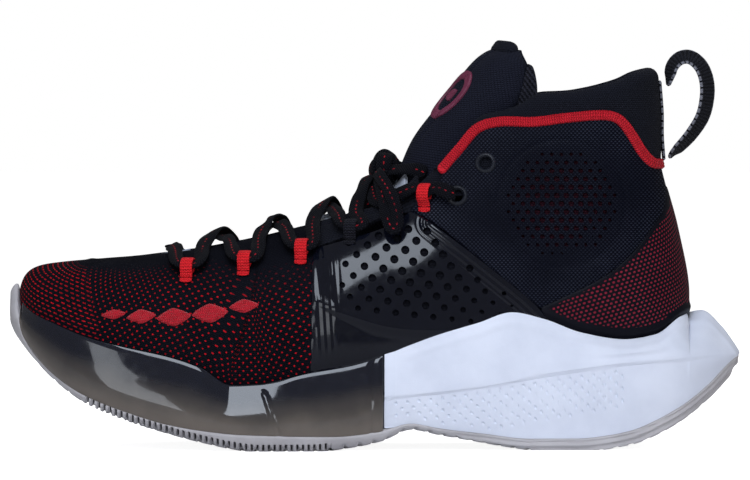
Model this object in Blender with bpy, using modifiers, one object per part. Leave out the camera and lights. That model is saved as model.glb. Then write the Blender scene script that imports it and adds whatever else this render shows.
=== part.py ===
"""Basketball high top, left foot, at rest on its outsole.

Frame: metres, +Z up, +X towards the heel, -Y the lateral (outer) side, +Y the medial side. The origin is
under the middle of the shoe, on the ground. Tables and outlines are in millimetres, as (x, z) pairs in the
side view unless said otherwise.
"""

import math

import bmesh
import bpy
from mathutils import Matrix, Vector
from mathutils.bvhtree import BVHTree

MM = 0.001
GAP = 0.3
SIDES = {"lateral": -1, "medial": 1}

# ---------------------------------------------------------------- driving dimensions (mm)
RINGS_PER_ROW = 1
RING_HALF = 9
PANEL_THICKNESS = 1.2
MIDLAYER_THICKNESS = 1.5
LINING_THICKNESS = 1.6
BED_CLEARANCE = 0.45
RIM_WALL = 2.4
TPU_WALL = 2.2
LACE_TUBE = 2.8
AGLET_LENGTH = 22.0
EYELET_OUTER = 9.0
EYELET_HOLE = 4.6
LOOP_WIDTH = 5.8
PIPING_WIDTH = 4.2
PULL_WIDTH = 11.0
PULL_THICKNESS = 1.6
ANCHOR_THICKNESS = 1.3
RAISED_LAYER = (1.2, 0.3)
ACCENT_LAYER = (1.1, 0.3)
BOARD_LAYER = (0.0, -1.6)
INSOLE_LAYER = (-1.9, -5.4)
INSOLE_END = 115.0
SHARP_ANGLE = 40.0
POCKET_HEIGHT = 30.0

# The last, the closed form that the upper is wrapped on, as fanned cross-sections from toe to collar:
# front point x, z; back point x, z; lateral and medial half-width; sideways shift; top and bottom squareness.
LAST = (
    (-148.6, 61.0, -148.6, 61.0, 0.0, 0.0, 5.0, 2.0, 2.0),
    (-147.9, 67.2, -147.6, 54.4, 12.0, 13.0, 5.0, 2.1, 2.2),
    (-145.3, 72.2, -144.2, 48.2, 21.0, 23.0, 3.5, 2.2, 2.4),
    (-140.0, 75.2, -138.5, 43.0, 29.0, 32.0, 2.0, 2.3, 2.7),
    (-130.0, 76.8, -129.0, 37.4, 35.5, 40.0, 1.0, 2.4, 3.0),
    (-114.0, 78.2, -114.0, 30.0, 41.5, 45.5, 0.0, 2.4, 3.2),
    (-94.0, 80.0, -94.0, 22.8, 46.5, 48.5, 0.0, 2.3, 3.3),
    (-68.0, 84.4, -68.0, 17.2, 50.5, 49.5, 0.0, 2.2, 3.4),
    (-42.0, 90.4, -40.0, 15.6, 51.0, 46.5, 0.0, 2.15, 3.4),
    (-16.0, 98.6, -9.0, 17.2, 48.0, 41.5, 0.0, 2.1, 3.3),
    (3.0, 105.6, 24.0, 20.0, 43.5, 37.5, 0.0, 2.2, 3.2),
    (11.0, 114.0, 60.0, 23.0, 40.0, 35.5, 0.0, 2.4, 3.0),
    (16.0, 124.0, 98.0, 25.5, 37.5, 35.0, 0.0, 2.6, 2.6),
    (22.0, 134.5, 126.5, 38.0, 36.0, 34.5, 0.0, 2.6, 2.2),
    (29.0, 144.5, 131.4, 63.0, 34.5, 34.0, 0.0, 2.6, 2.1),
    (36.0, 153.0, 126.8, 91.0, 33.0, 33.0, 0.0, 2.5, 2.1),
    (41.0, 160.0, 119.6, 119.0, 31.5, 31.5, 0.0, 2.4, 2.1),
    (46.0, 166.0, 118.6, 142.0, 31.0, 31.0, 0.0, 2.4, 2.1),
    (51.0, 172.0, 116.5, 166.0, 30.5, 30.5, 0.0, 2.4, 2.1),
)
WIDEST = 0.62

# The sole, as upright cross-sections: x, ground line, height of greatest width, top edge, lateral and
# medial half-width.
SOLE = (
    (-152.5, 56.0, 58.5, 61.0, 2.0, 12.0),
    (-151.6, 52.2, 57.0, 65.0, 9.0, 18.0),
    (-149.6, 48.0, 54.5, 67.5, 16.0, 23.5),
    (-148.2, 46.0, 53.0, 62.4, 19.0, 26.0),
    (-143.0, 39.6, 47.5, 57.0, 27.0, 33.0),
    (-133.0, 29.4, 38.5, 52.3, 36.0, 41.0),
    (-120.0, 20.0, 30.5, 47.2, 43.5, 47.5),
    (-104.0, 13.3, 24.0, 43.0, 50.0, 54.0),
    (-86.0, 7.8, 19.0, 39.3, 54.6, 56.8),
    (-72.0, 4.2, 15.0, 34.8, 56.6, 57.0),
    (-59.0, 1.4, 12.0, 27.6, 57.0, 55.6),
    (-48.0, 0.0, 11.5, 28.0, 57.0, 53.2),
    (-28.0, 0.0, 12.5, 32.3, 56.0, 51.0),
    (-9.0, 2.0, 14.5, 35.7, 54.5, 46.8),
    (3.0, 4.6, 19.5, 39.3, 53.0, 43.5),
    (15.0, 9.2, 23.5, 44.0, 51.0, 42.0),
    (27.0, 6.9, 24.8, 48.3, 49.0, 40.5),
    (43.0, 4.0, 26.6, 53.0, 47.0, 39.5),
    (57.0, 1.5, 29.0, 57.3, 45.5, 39.5),
    (70.0, 0.0, 31.2, 54.6, 44.5, 40.0),
    (86.0, 0.0, 33.5, 48.8, 43.5, 39.5),
    (104.0, 2.4, 35.8, 45.9, 41.5, 39.0),
    (117.0, 6.6, 37.0, 47.8, 38.0, 36.5),
    (128.0, 12.7, 37.8, 55.0, 33.0, 32.0),
    (137.0, 19.8, 38.2, 57.0, 26.5, 26.0),
    (145.5, 27.6, 38.6, 50.2, 18.0, 18.0),
    (150.5, 34.2, 38.8, 43.5, 10.0, 10.0),
    (152.5, 38.0, 39.2, 40.4, 2.5, 2.5),
)
HEEL_FLARE_START = 131.0

# Where the rubber outsole meets the parts above it, from the toe rim to the heel.
OUTSOLE_TOP = (
    (-148.6, 75.0), (-148.4, 62.0), (-147.8, 52.0), (-145.0, 44.5), (-138.0, 35.5), (-127.6, 27.0),
    (-118.0, 21.8), (-104.0, 16.6), (-86.5, 11.4), (-72.0, 8.8), (-54.0, 7.0), (-17.0, 6.2), (1.4, 8.0),
    (15.0, 11.4), (27.0, 9.4), (46.0, 7.0), (64.0, 4.9), (84.0, 4.9), (97.0, 6.2), (107.0, 8.3),
    (118.0, 12.9), (128.5, 18.8), (139.0, 26.8), (149.0, 36.4), (158.0, 42.0),
)
# Where the walls of the upper meet the sock board under the foot.
FEATHER = (
    (-165.0, 60.0), (-149.0, 59.0), (-143.0, 52.0), (-135.0, 45.5), (-123.0, 38.5), (-108.0, 32.0),
    (-88.0, 25.6), (-66.0, 21.2), (-38.0, 19.8), (-8.0, 21.4), (24.0, 24.4), (60.0, 27.6), (98.0, 31.0),
    (116.0, 35.0), (127.0, 42.0), (150.0, 47.0),
)
# Half-width of the throat opening, as (x, y) in plan, from the vamp point up to the front of the ankle.
THROAT = ((-92.0, 0.0), (-90.0, 5.0), (-84.0, 9.5), (-72.0, 12.0), (-40.0, 14.0), (-14.0, 16.0),
          (0.0, 17.5), (11.0, 19.5), (22.0, 21.5), (34.0, 22.5), (42.0, 22.5))
# Top edge of the collar, and the band of webbing that edges the ankle panels below it.
COLLAR_EDGE = ((0.0, 96.0), (20.0, 112.0), (28.0, 119.5), (36.0, 128.5), (43.0, 137.0), (53.0, 139.5),
               (60.0, 142.0), (67.5, 146.0), (83.0, 147.0), (101.0, 151.0), (111.0, 155.0), (125.0, 158.5))
PIPING = ((28.5, 116.5), (35.7, 125.0), (43.0, 133.2), (52.4, 136.0), (66.0, 136.0), (79.0, 137.6),
          (92.5, 138.8), (99.0, 138.2), (103.0, 135.6), (107.0, 130.0), (111.0, 123.4), (115.0, 119.2),
          (119.0, 118.2), (124.0, 118.2))
# Seams between the panels of the upper.
VAMP_SEAM = ((-27.0, 10.0), (-26.4, 50.0), (-26.0, 84.0), (-26.0, 110.0))
CAGE_TOP = ((-25.4, 84.6), (-10.8, 90.0), (1.4, 96.7), (13.5, 99.2), (24.4, 93.8))
CAGE_REAR = ((24.4, 93.8), (46.0, 77.4), (69.2, 58.0), (80.0, 40.0), (84.0, 20.0))
REAR_SEAM = ((122.5, 113.5), (120.6, 100.0), (116.0, 93.0), (109.0, 83.7), (101.0, 76.0), (91.0, 69.4),
             (76.5, 62.4), (69.6, 59.4))

# The tongue, as arched sections from the vamp up to its tip: front centre x, z; edge x, z; half-width.
TONGUE = (
    (-88.0, 74.0, -87.0, 71.0, 14.0),
    (-68.0, 77.6, -67.0, 72.0, 18.0),
    (-42.0, 83.2, -39.0, 75.0, 20.0),
    (-17.0, 91.2, -11.0, 80.0, 20.5),
    (-1.0, 99.0, 13.0, 87.0, 20.5),
    (6.6, 108.0, 30.0, 98.0, 20.5),
    (10.0, 118.6, 43.0, 112.0, 20.5),
)
TONGUE_TOP = (
    (10.6, 120.0, 44.0, 113.4, 20.5),
    (15.4, 130.0, 50.0, 126.0, 19.8),
    (23.6, 141.0, 56.0, 138.0, 20.4),
    (33.0, 152.5, 60.5, 150.0, 21.2),
    (42.5, 163.0, 62.0, 161.0, 20.5),
    (50.5, 168.4, 61.5, 167.4, 15.0),
)
TONGUE_THICKNESS = 5.0

# Lace loops: x and height of the loop's middle on the lateral side, from the toe up.
LACE_LOOPS = ((-77.3, 73.0), (-53.6, 76.0), (-30.0, 81.0), (21.6, 104.0))
HIDDEN_LOOP = (-9.5, 89.0)
EYELETS = ((34.4, 105.3), (46.2, 118.9))


def clear_scene():
    for obj in list(bpy.data.objects):
        bpy.data.objects.remove(obj, do_unlink=True)


def collection(name):
    group = bpy.data.collections.new(name)
    bpy.context.scene.collection.children.link(group)
    return group


clear_scene()
SHOE = collection("basketball_high_top")
CUTTERS = collection("cutters")
CUTTERS.hide_render = True


def material(name, colour, roughness, metallic=0.0):
    made = bpy.data.materials.new(name)
    made.use_nodes = True
    shader = made.node_tree.nodes["Principled BSDF"]
    shader.inputs["Base Color"].default_value = (*colour, 1.0)
    shader.inputs["Roughness"].default_value = roughness
    shader.inputs["Metallic"].default_value = metallic
    return made


KNIT = material("black_knit", (0.006, 0.008, 0.014), 0.8)
COATED = material("coated_mesh", (0.007, 0.009, 0.014), 0.45)
FILM = material("gloss_film", (0.005, 0.006, 0.01), 0.12)
DOTTED = material("dotted_synthetic", (0.09, 0.01, 0.018), 0.45)
PADDING = material("padding_knit", (0.007, 0.009, 0.016), 0.85)
LINING = material("lining", (0.05, 0.006, 0.01), 0.9)
RED = material("red_webbing", (0.5, 0.012, 0.025), 0.6)
WHITE = material("white_foam", (0.6, 0.64, 0.75), 0.5)
SMOKE = material("smoky_tpu", (0.03, 0.026, 0.026), 0.1)
RUBBER = material("grey_rubber", (0.42, 0.4, 0.4), 0.6)
CORE = material("foam_core", (0.3, 0.28, 0.26), 0.7)
BOARD = material("board", (0.45, 0.4, 0.3), 0.85)
STIFF = material("stiffener", (0.6, 0.58, 0.5), 0.7)
LACE = material("lace", (0.008, 0.009, 0.014), 0.75)
PLASTIC = material("black_plastic", (0.01, 0.011, 0.016), 0.35)
GREY_FILM = material("grey_film", (0.35, 0.38, 0.45), 0.2)
PLUM = material("plum_badge", (0.11, 0.03, 0.055), 0.5)
CARBON = material("shank", (0.02, 0.02, 0.02), 0.4)
GEL = material("cushion_gel", (0.05, 0.12, 0.3), 0.3)


def finish(mesh, name, look, group=SHOE):
    """A linked object with its look, its shading smooth but for real edges."""
    obj = bpy.data.objects.new(name, mesh)
    group.objects.link(obj)
    obj.data.materials.append(look)
    mesh.shade_smooth()
    mesh.set_sharp_from_angle(angle=math.radians(SHARP_ANGLE))
    return obj


def mesh_from(bm, name):
    """The bmesh, scaled from millimetres and facing out, as a mesh."""
    bmesh.ops.recalc_face_normals(bm, faces=bm.faces)
    bmesh.ops.scale(bm, vec=(MM, MM, MM), verts=bm.verts)
    mesh = bpy.data.meshes.new(name)
    bm.to_mesh(mesh)
    bm.free()
    return mesh


def spline_point(rows, at):
    """Catmull-Rom through equally spaced rows; at runs from 0 to the last row's index."""
    i = min(int(at), len(rows) - 2)
    t = at - i
    before = rows[max(i - 1, 0)]
    a, b = rows[i], rows[i + 1]
    after = rows[min(i + 2, len(rows) - 1)]
    return [
        0.5 * (2 * q + (r - p) * t + (2 * p - 5 * q + 4 * r - s) * t * t + (3 * q - p - 3 * r + s) * t**3)
        for p, q, r, s in zip(before, a, b, after)
    ]


def smooth_path(points, per_span):
    """A smooth polyline through the points, with per_span pieces between each two."""
    count = (len(points) - 1) * per_span
    return [Vector(spline_point(points, k / per_span)) for k in range(count + 1)]


def interpolate(table, x):
    """The table's height at x, along straight runs."""
    for (x0, z0), (x1, z1) in zip(table, table[1:]):
        if x <= x1:
            return z0 + (z1 - z0) * max(0.0, (x - x0)) / (x1 - x0)
    return table[-1][1]


# ---------------------------------------------------------------- the last and what wraps it
def last_ring(row):
    """One closed ring of the last: down the lateral side and up the medial side."""
    fx, fz, bx, bz, lateral, medial, shift, top, bottom = row
    ring = []
    for k in range(2 * RING_HALF):
        angle = math.pi * k / RING_HALF
        side = 1 if angle > math.pi else -1
        phi = angle if angle <= math.pi else 2 * math.pi - angle
        power = 2 / (top if phi <= math.pi / 2 else bottom)
        reach = abs(math.cos(phi)) ** power
        along = WIDEST * (1 - reach) if phi <= math.pi / 2 else WIDEST + (1 - WIDEST) * reach
        out = max(math.sin(phi), 0.0) ** power * (medial if side > 0 else lateral)
        ring.append((fx + (bx - fx) * along, shift + side * out, fz + (bz - fz) * along))
    return ring


def last_points():
    steps = (len(LAST) - 1) * RINGS_PER_ROW
    rows = [spline_point(LAST, k / RINGS_PER_ROW) for k in range(1, steps + 1)]
    tip = (LAST[0][0], LAST[0][6], LAST[0][1])
    return tip, [last_ring(row) for row in rows]


def last_surface():
    """An open bmesh of the last, with its tip as a fan, and its vertices in ring order."""
    bm = bmesh.new()
    tip, rings = last_points()
    tip_vert = bm.verts.new(tip)
    grid = [[bm.verts.new(p) for p in ring] for ring in rings]
    around = 2 * RING_HALF
    for k in range(around):
        bm.faces.new((tip_vert, grid[0][k], grid[0][(k + 1) % around]))
    for a, b in zip(grid, grid[1:]):
        for k in range(around):
            bm.faces.new((a[k], b[k], b[(k + 1) % around], a[(k + 1) % around]))
    bmesh.ops.recalc_face_normals(bm, faces=bm.faces)
    bm.normal_update()
    return bm, [tip_vert] + [v for ring in grid for v in ring]


def last_frame():
    """The last's points and outward normals, and the tree that finds a place on it."""
    bm, verts = last_surface()
    bm.verts.index_update()
    middle = Vector((0.0, 0.0, 50.0))
    sign = 1 if (verts[40].co - middle).dot(verts[40].normal) > 0 else -1
    points = [v.co.copy() for v in verts]
    normals = [v.normal * sign for v in verts]
    tree = BVHTree.FromBMesh(bm)
    bm.free()
    return points, normals, tree


LAST_POINTS, LAST_NORMALS, LAST_TREE = last_frame()


def last_skin(bm, offset):
    """The last's vertices moved out by offset, as rings; the first entry is the tip."""
    moved = [bm.verts.new(p + n * offset) for p, n in zip(LAST_POINTS, LAST_NORMALS)]
    around = 2 * RING_HALF
    return moved[0], [moved[1 + i : 1 + i + around] for i in range(0, len(moved) - 1, around)]


def skin_faces(bm, tip, rings):
    """Triangles between the rings, split the same way at every offset so that layers never cross."""
    around = 2 * RING_HALF
    for k in range(around):
        bm.faces.new((tip, rings[0][k], rings[0][(k + 1) % around]))
    for a, b in zip(rings, rings[1:]):
        for k in range(around):
            n = (k + 1) % around
            bm.faces.new((a[k], b[k], b[n]))
            bm.faces.new((a[k], b[n], a[n]))


def last_volume(name, offset):
    """The closed last at an offset, as a cutter."""
    bm = bmesh.new()
    tip, rings = last_skin(bm, offset)
    skin_faces(bm, tip, rings)
    bm.faces.new(rings[-1])
    return finish(mesh_from(bm, name), name, STIFF, CUTTERS)


def layer_shell(name, outer, inner, look):
    """A whole layer of the upper between two offsets, open at the collar end."""
    bm = bmesh.new()
    tip_out, rings_out = last_skin(bm, outer)
    tip_in, rings_in = last_skin(bm, inner)
    skin_faces(bm, tip_out, rings_out)
    skin_faces(bm, tip_in, rings_in)
    for face in list(bm.faces)[len(bm.faces) // 2 :]:
        face.normal_flip()
    around = 2 * RING_HALF
    a, b = rings_out[-1], rings_in[-1]
    for k in range(around):
        bm.faces.new((a[k], b[k], b[(k + 1) % around], a[(k + 1) % around]))
    return finish(mesh_from(bm, name), name, look)


def on_last(x, z, side, lift=0.0):
    """The point on the last at a place in the side view, and the outward normal there."""
    hit, normal, _, _ = LAST_TREE.ray_cast(Vector((x, side * 200.0, z)), Vector((0, -side, 0)))
    if normal.y * side < 0:
        normal = -normal
    return hit + normal * lift, normal


# ---------------------------------------------------------------- cutters and Booleans
def prism(name, outline, low, high, plan=False):
    """An outline in the side view carried across in Y, or in plan carried up in Z."""
    bm = bmesh.new()
    if plan:
        verts = [bm.verts.new((x, y, low)) for x, y in outline]
        travel = (0, 0, high - low)
    else:
        verts = [bm.verts.new((x, low, z)) for x, z in outline]
        travel = (0, high - low, 0)
    face = bm.faces.new(verts)
    grown = bmesh.ops.extrude_face_region(bm, geom=[face])
    moved = [item for item in grown["geom"] if isinstance(item, bmesh.types.BMVert)]
    bmesh.ops.translate(bm, vec=travel, verts=moved)
    obj = finish(mesh_from(bm, name), name, STIFF, CUTTERS)
    obj.hide_render = True
    obj.display_type = "WIRE"
    return obj


def boolean(obj, cutter, operation):
    cutter.hide_render = True
    cutter.display_type = "WIRE"
    mod = obj.modifiers.new(cutter.name, "BOOLEAN")
    mod.operation = operation
    mod.solver = "EXACT"
    mod.object = cutter
    return obj


def keep(obj, outline, side=None):
    """Keep what lies inside an outline of the side view, on one side of the shoe or across it."""
    low = 0.15 if side == "medial" else -90.0
    high = -0.15 if side == "lateral" else 90.0
    return boolean(obj, prism(obj.name + "_outline", outline, low, high), "INTERSECT")


def shifted(line, dx=0.0, dz=0.0):
    return [(x + dx, z + dz) for x, z in line]


HALF_GAP = GAP / 2
FEATHER_UP = shifted(FEATHER, dz=HALF_GAP)
FEATHER_DOWN = shifted(FEATHER, dz=-HALF_GAP)
BED = last_volume("foot_bed", BED_CLEARANCE)
THROAT_CUT = prism(
    "throat_opening",
    [(x, -y) for x, y in THROAT] + [(x, y) for x, y in reversed(THROAT[1:])],
    60.0,
    190.0,
    plan=True,
)


def feather_between(x0, x1):
    """The feather line from x0 to x1, just above the sock board."""
    inside = [p for p in FEATHER_UP if x0 < p[0] < x1]
    return [(x0, interpolate(FEATHER_UP, x0))] + inside + [(x1, interpolate(FEATHER_UP, x1))]


def outer_panel(name, outline, look, side=None):
    return keep(layer_shell(name, 0.0, -PANEL_THICKNESS, look), outline, side)


def middle_panel(name, outline, look, side=None):
    outer = -PANEL_THICKNESS - GAP
    return keep(layer_shell(name, outer, outer - MIDLAYER_THICKNESS, look), outline, side)


def build_vamp():
    outline = feather_between(-160.0, -27.4) + shifted(VAMP_SEAM[1:], dx=-HALF_GAP)
    outline += [(-160.0, 110.0)]
    vamp = outer_panel("vamp_knit", outline, KNIT)
    boolean(vamp, THROAT_CUT, "DIFFERENCE")
    middle_panel("toe_puff", feather_between(-160.0, -112.0) + [(-118.0, 100.0), (-160.0, 100.0)], STIFF)


def build_cages():
    left = shifted(VAMP_SEAM[1:3], dx=HALF_GAP)
    rear = shifted(CAGE_REAR, dx=-HALF_GAP)
    floor_line = feather_between(-26.6, 83.0)
    for name, side in SIDES.items():
        outline = floor_line + list(reversed(rear[:-1])) + list(reversed(CAGE_TOP[:-1])) + list(reversed(left))
        outer_panel(f"midfoot_cage_{name}", outline, FILM, name)


def build_eyestays():
    """The facing above each cage, from the vamp seam up to the ankle panel, with the throat cut out."""
    low = shifted(CAGE_TOP, dz=GAP)
    outline = [(-25.5, 85.0)] + low[1:3] + [(13.2, 99.9), (25.6, 105.8), (17.0, 109.5), (10.0, 140.0)]
    for name in SIDES:
        eyestay = outer_panel(f"eyestay_{name}", outline + [(-25.5, 140.0)], KNIT, name)
        boolean(eyestay, THROAT_CUT, "DIFFERENCE")


def build_ankle_panels():
    for name in SIDES:
        front = [(13.9, 99.5), (24.6, 94.1)] + shifted(CAGE_REAR[1:2], dx=HALF_GAP) + [(69.6, 58.4 + 1.4)]
        rear = list(reversed(shifted(REAR_SEAM, dx=-HALF_GAP, dz=HALF_GAP)))
        top = [(119.0, 117.0), (114.0, 116.8), (109.0, 121.0), (104.5, 128.5), (101.0, 134.2), (98.0, 136.0),
               (92.5, 136.4), (79.0, 135.2), (66.0, 133.6), (52.4, 133.6), (44.5, 131.2), (37.6, 123.5),
               (30.0, 114.6), (26.3, 105.2)]
        panel = outer_panel(f"ankle_panel_{name}", front + rear + top, COATED, name)
        boolean(panel, THROAT_CUT, "DIFFERENCE")
        side = SIDES[name]
        for k, (x, z) in enumerate(EYELETS):
            boolean(panel, eyelet_cutter(f"eyelet_hole_{name}_{k}", x, z, side), "DIFFERENCE")


def build_heel():
    outline = feather_between(84.4, 150.0) + [(150.0, 116.8), (122.8, 116.8)]
    outline += shifted(REAR_SEAM, dx=HALF_GAP) + shifted(CAGE_REAR[2:4], dx=HALF_GAP + 0.2)
    outer_panel("heel_panel", outline, DOTTED)
    counter = shifted(feather_between(72.0, 150.0), dz=5.0) + [(150.0, 98.0), (112.0, 92.0), (90.0, 66.0), (72.0, 52.0)]
    middle_panel("heel_counter", counter, STIFF)


def build_collar():
    """The padded ring round the ankle and the sleeve that lines the shoe."""
    edge = list(reversed(COLLAR_EDGE))
    low = [(30.0, 100.0), (60.0, 96.0), (96.0, 99.0), (124.0, 101.0), (140.0, 101.0), (140.0, 158.5)]
    foam = middle_panel("collar_padding", low + edge[:-1] + [(20.0, 100.0)], PADDING)
    boolean(foam, THROAT_CUT, "DIFFERENCE")
    inner = -PANEL_THICKNESS - MIDLAYER_THICKNESS - 2 * GAP
    # The sleeve's front corners stand back, so that the tongue can flex forward past them.
    outline = feather_between(-59.0, 140.0) + [(140.0, 157.7)] + shifted(edge, dx=3.0, dz=-0.8) + [(-59.0, 95.0)]
    sleeve = keep(layer_shell("collar_lining", inner, inner - LINING_THICKNESS, LINING), outline)
    boolean(sleeve, THROAT_CUT, "DIFFERENCE")
    outline = feather_between(-160.0, -59.3) + [(-59.3, 100.0), (-160.0, 100.0)]
    front = keep(layer_shell("vamp_lining", inner, inner - LINING_THICKNESS, LINING), outline)
    boolean(front, THROAT_CUT, "DIFFERENCE")


def build_underfoot():
    below = list(reversed(FEATHER_DOWN)) + [(-165.0, 0.0), (150.0, 0.0)]
    keep(layer_shell("strobel_board", *BOARD_LAYER, BOARD), below)
    inside = [(x, z) for x, z in below if x < INSOLE_END]
    inside += [(INSOLE_END, 0.0), (INSOLE_END, interpolate(FEATHER_DOWN, INSOLE_END))]
    keep(layer_shell("insole", *INSOLE_LAYER, LINING), inside)


# ---------------------------------------------------------------- sole
def sole_section(row, inset, floor_lift):
    """One upright section of the sole as a closed loop, lateral side first."""
    x, low, wide, high, lateral, medial = row
    loop = {}
    for name, side in SIDES.items():
        reach = lateral if side < 0 else medial
        if x < HEEL_FLARE_START and -147.0 < x:
            foot = abs(on_last(x, min(high, 60.0), side)[0].y)
            rim = foot + RIM_WALL
        else:
            rim = 0.45 * reach
        reach, rim = max(reach - inset, 0.8), max(rim - inset, 0.6)
        base = max(reach - 3.2, 0.7)
        mid_low = low + floor_lift + (wide - low - floor_lift) * 0.45
        loop[side] = [
            (0.62 * base, low + floor_lift),
            (base, low + floor_lift + min(1.6, 0.3 * (wide - low))),
            (0.35 * base + 0.65 * reach, mid_low),
            (reach, wide),
            (0.62 * reach + 0.38 * rim, wide + 0.45 * (high - wide)),
            (rim, high),
        ]
    ring = [(x, -y, z) for y, z in loop[-1]]
    ring += [(x, y, z) for y, z in reversed(loop[1])]
    return ring


def sole_volume(name, look, group, inset=0.0, floor_lift=0.0):
    bm = bmesh.new()
    rings = [[bm.verts.new(p) for p in sole_section(row, inset, floor_lift)] for row in SOLE]
    around = len(rings[0])
    for a, b in zip(rings, rings[1:]):
        for k in range(around):
            bm.faces.new((a[k], b[k], b[(k + 1) % around], a[(k + 1) % around]))
    bm.faces.new(rings[0])
    bm.faces.new(rings[-1])
    bmesh.ops.triangulate(bm, faces=[f for f in bm.faces if len(f.verts) > 4])
    return finish(mesh_from(bm, name), name, look, group)


def above_outsole(x0, x1, lift):
    line = shifted(OUTSOLE_TOP, dz=lift)
    inside = [p for p in line if x0 < p[0] < x1]
    return [(x0, interpolate(line, x0))] + inside + [(x1, interpolate(line, x1))]


TPU_END = 3.7
FOAM_START = 4.2
SHANK = (14.0, 72.0, 13.0, 1.5)
HEEL_POD = (92.0, 21.0, 15.0, 8.0)
TOE_POD = (-48.0, 20.0, 11.4, 3.0)


def build_outsole():
    outsole = sole_volume("outsole", RUBBER, SHOE)
    below = list(reversed(OUTSOLE_TOP)) + [(-170.0, 75.0), (-170.0, -10.0), (158.0, -10.0)]
    keep(outsole, below)
    boolean(outsole, BED, "DIFFERENCE")


def build_forefoot():
    shell = sole_volume("forefoot_tpu_shell", SMOKE, SHOE)
    keep(shell, above_outsole(-148.0, TPU_END, GAP) + [(TPU_END, 70.0), (-148.0, 76.0)])
    boolean(shell, BED, "DIFFERENCE")
    hollow = sole_volume("forefoot_hollow", STIFF, CUTTERS, TPU_WALL, 0.5)
    keep(hollow, above_outsole(-140.0, TPU_END - TPU_WALL, GAP + TPU_WALL) + [(TPU_END - TPU_WALL, 80.0), (-140.0, 90.0)])
    boolean(shell, hollow, "DIFFERENCE")
    core = sole_volume("forefoot_foam", CORE, SHOE, TPU_WALL + 2 * GAP, 0.5)
    lift = TPU_WALL + 2 * GAP
    end = TPU_END - TPU_WALL - GAP
    keep(core, above_outsole(-139.6, end, lift) + [(end, 24.0), (-70.0, 19.0), (-110.0, 29.0), (-139.6, 46.0)])
    boolean(core, BED, "DIFFERENCE")
    boolean(core, disc("toe_pod_pocket", TOE_POD, GAP, CUTTERS, STIFF, POCKET_HEIGHT), "DIFFERENCE")
    disc("forefoot_cushion_pod", TOE_POD, 0.0, SHOE, GEL)


def build_heel_midsole():
    foam = sole_volume("heel_midsole", WHITE, SHOE)
    keep(foam, above_outsole(FOAM_START, 158.0, GAP) + [(158.0, 90.0), (FOAM_START, 90.0)])
    boolean(foam, BED, "DIFFERENCE")
    x0, x1, half, thick = SHANK
    slot = above_outsole(x0 - GAP, x1 + GAP, -1.0) + list(reversed(above_outsole(x0 - GAP, x1 + GAP, thick + 3 * GAP)))
    boolean(foam, prism("shank_slot", slot, -half - GAP, half + GAP), "DIFFERENCE")
    strip = above_outsole(x0, x1, 2 * GAP) + list(reversed(above_outsole(x0, x1, 2 * GAP + thick)))
    plate = prism("shank_plate", strip, -half, half)
    CUTTERS.objects.unlink(plate)
    SHOE.objects.link(plate)
    plate.hide_render = False
    plate.display_type = "TEXTURED"
    plate.data.materials[0] = CARBON
    boolean(foam, disc("heel_pod_pocket", HEEL_POD, GAP, CUTTERS, STIFF, POCKET_HEIGHT), "DIFFERENCE")
    disc("heel_cushion_pod", HEEL_POD, 0.0, SHOE, GEL)


def disc(name, size, grow, group, look, height=None):
    """An upright round disc: centre x, radius, underside, thickness."""
    x, radius, low, thick = size
    tall = (height or thick) + grow
    bm = bmesh.new()
    bmesh.ops.create_cone(bm, cap_ends=True, segments=28, radius1=radius + grow, radius2=radius + grow, depth=tall)
    bmesh.ops.translate(bm, vec=(x, -1.0, low - grow + tall / 2), verts=bm.verts)
    obj = finish(mesh_from(bm, name), name, look, group)
    obj.hide_render = group is CUTTERS
    return obj


# ---------------------------------------------------------------- tongue
def tongue_grid(rows, per_row, half):
    """Rings of points over the tongue's outer surface, from one edge to the other."""
    count = (len(rows) - 1) * per_row
    grid = []
    for k in range(count + 1):
        fx, fz, ex, ez, wide = spline_point(rows, k / per_row)
        ring = []
        for j in range(-half, half + 1):
            phi = 0.5 * math.pi * j / half
            along = 1 - math.cos(phi)
            ring.append((fx + (ex - fx) * along, wide * math.sin(phi), fz + (ez - fz) * along))
        grid.append(ring)
    return grid


def tongue_sheet(name, rows, look, thickness, lift=0.0, per_row=2, half=5):
    grid = tongue_grid(rows, per_row, half)
    bm = bmesh.new()
    verts = [[bm.verts.new(p) for p in ring] for ring in grid]
    for a, b in zip(verts, verts[1:]):
        for k in range(len(a) - 1):
            bm.faces.new((a[k], a[k + 1], b[k + 1], b[k]))
    bm.normal_update()
    front = verts[len(verts) // 2][half]
    sign = 1 if front.normal.x < 0 or front.normal.z > 0.5 else -1
    moved = [[v.co + v.normal * sign * lift for v in ring] for ring in verts]
    bm.free()
    out = bmesh.new()
    verts = [[out.verts.new(p) for p in ring] for ring in moved]
    for a, b in zip(verts, verts[1:]):
        for k in range(len(a) - 1):
            if sign > 0:
                out.faces.new((a[k], a[k + 1], b[k + 1], b[k]))
            else:
                out.faces.new((a[k], b[k], b[k + 1], a[k + 1]))
    bmesh.ops.scale(out, vec=(MM, MM, MM), verts=out.verts)
    mesh = bpy.data.meshes.new(name)
    out.to_mesh(mesh)
    out.free()
    obj = finish(mesh, name, look)
    mod = obj.modifiers.new("thickness", "SOLIDIFY")
    mod.thickness = thickness * MM
    mod.offset = -1
    return obj


def rows_between(rows, start, end, count):
    """Rows of a section table read off between two of its positions."""
    return [spline_point(rows, start + (end - start) * k / (count - 1)) for k in range(count)]


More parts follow.
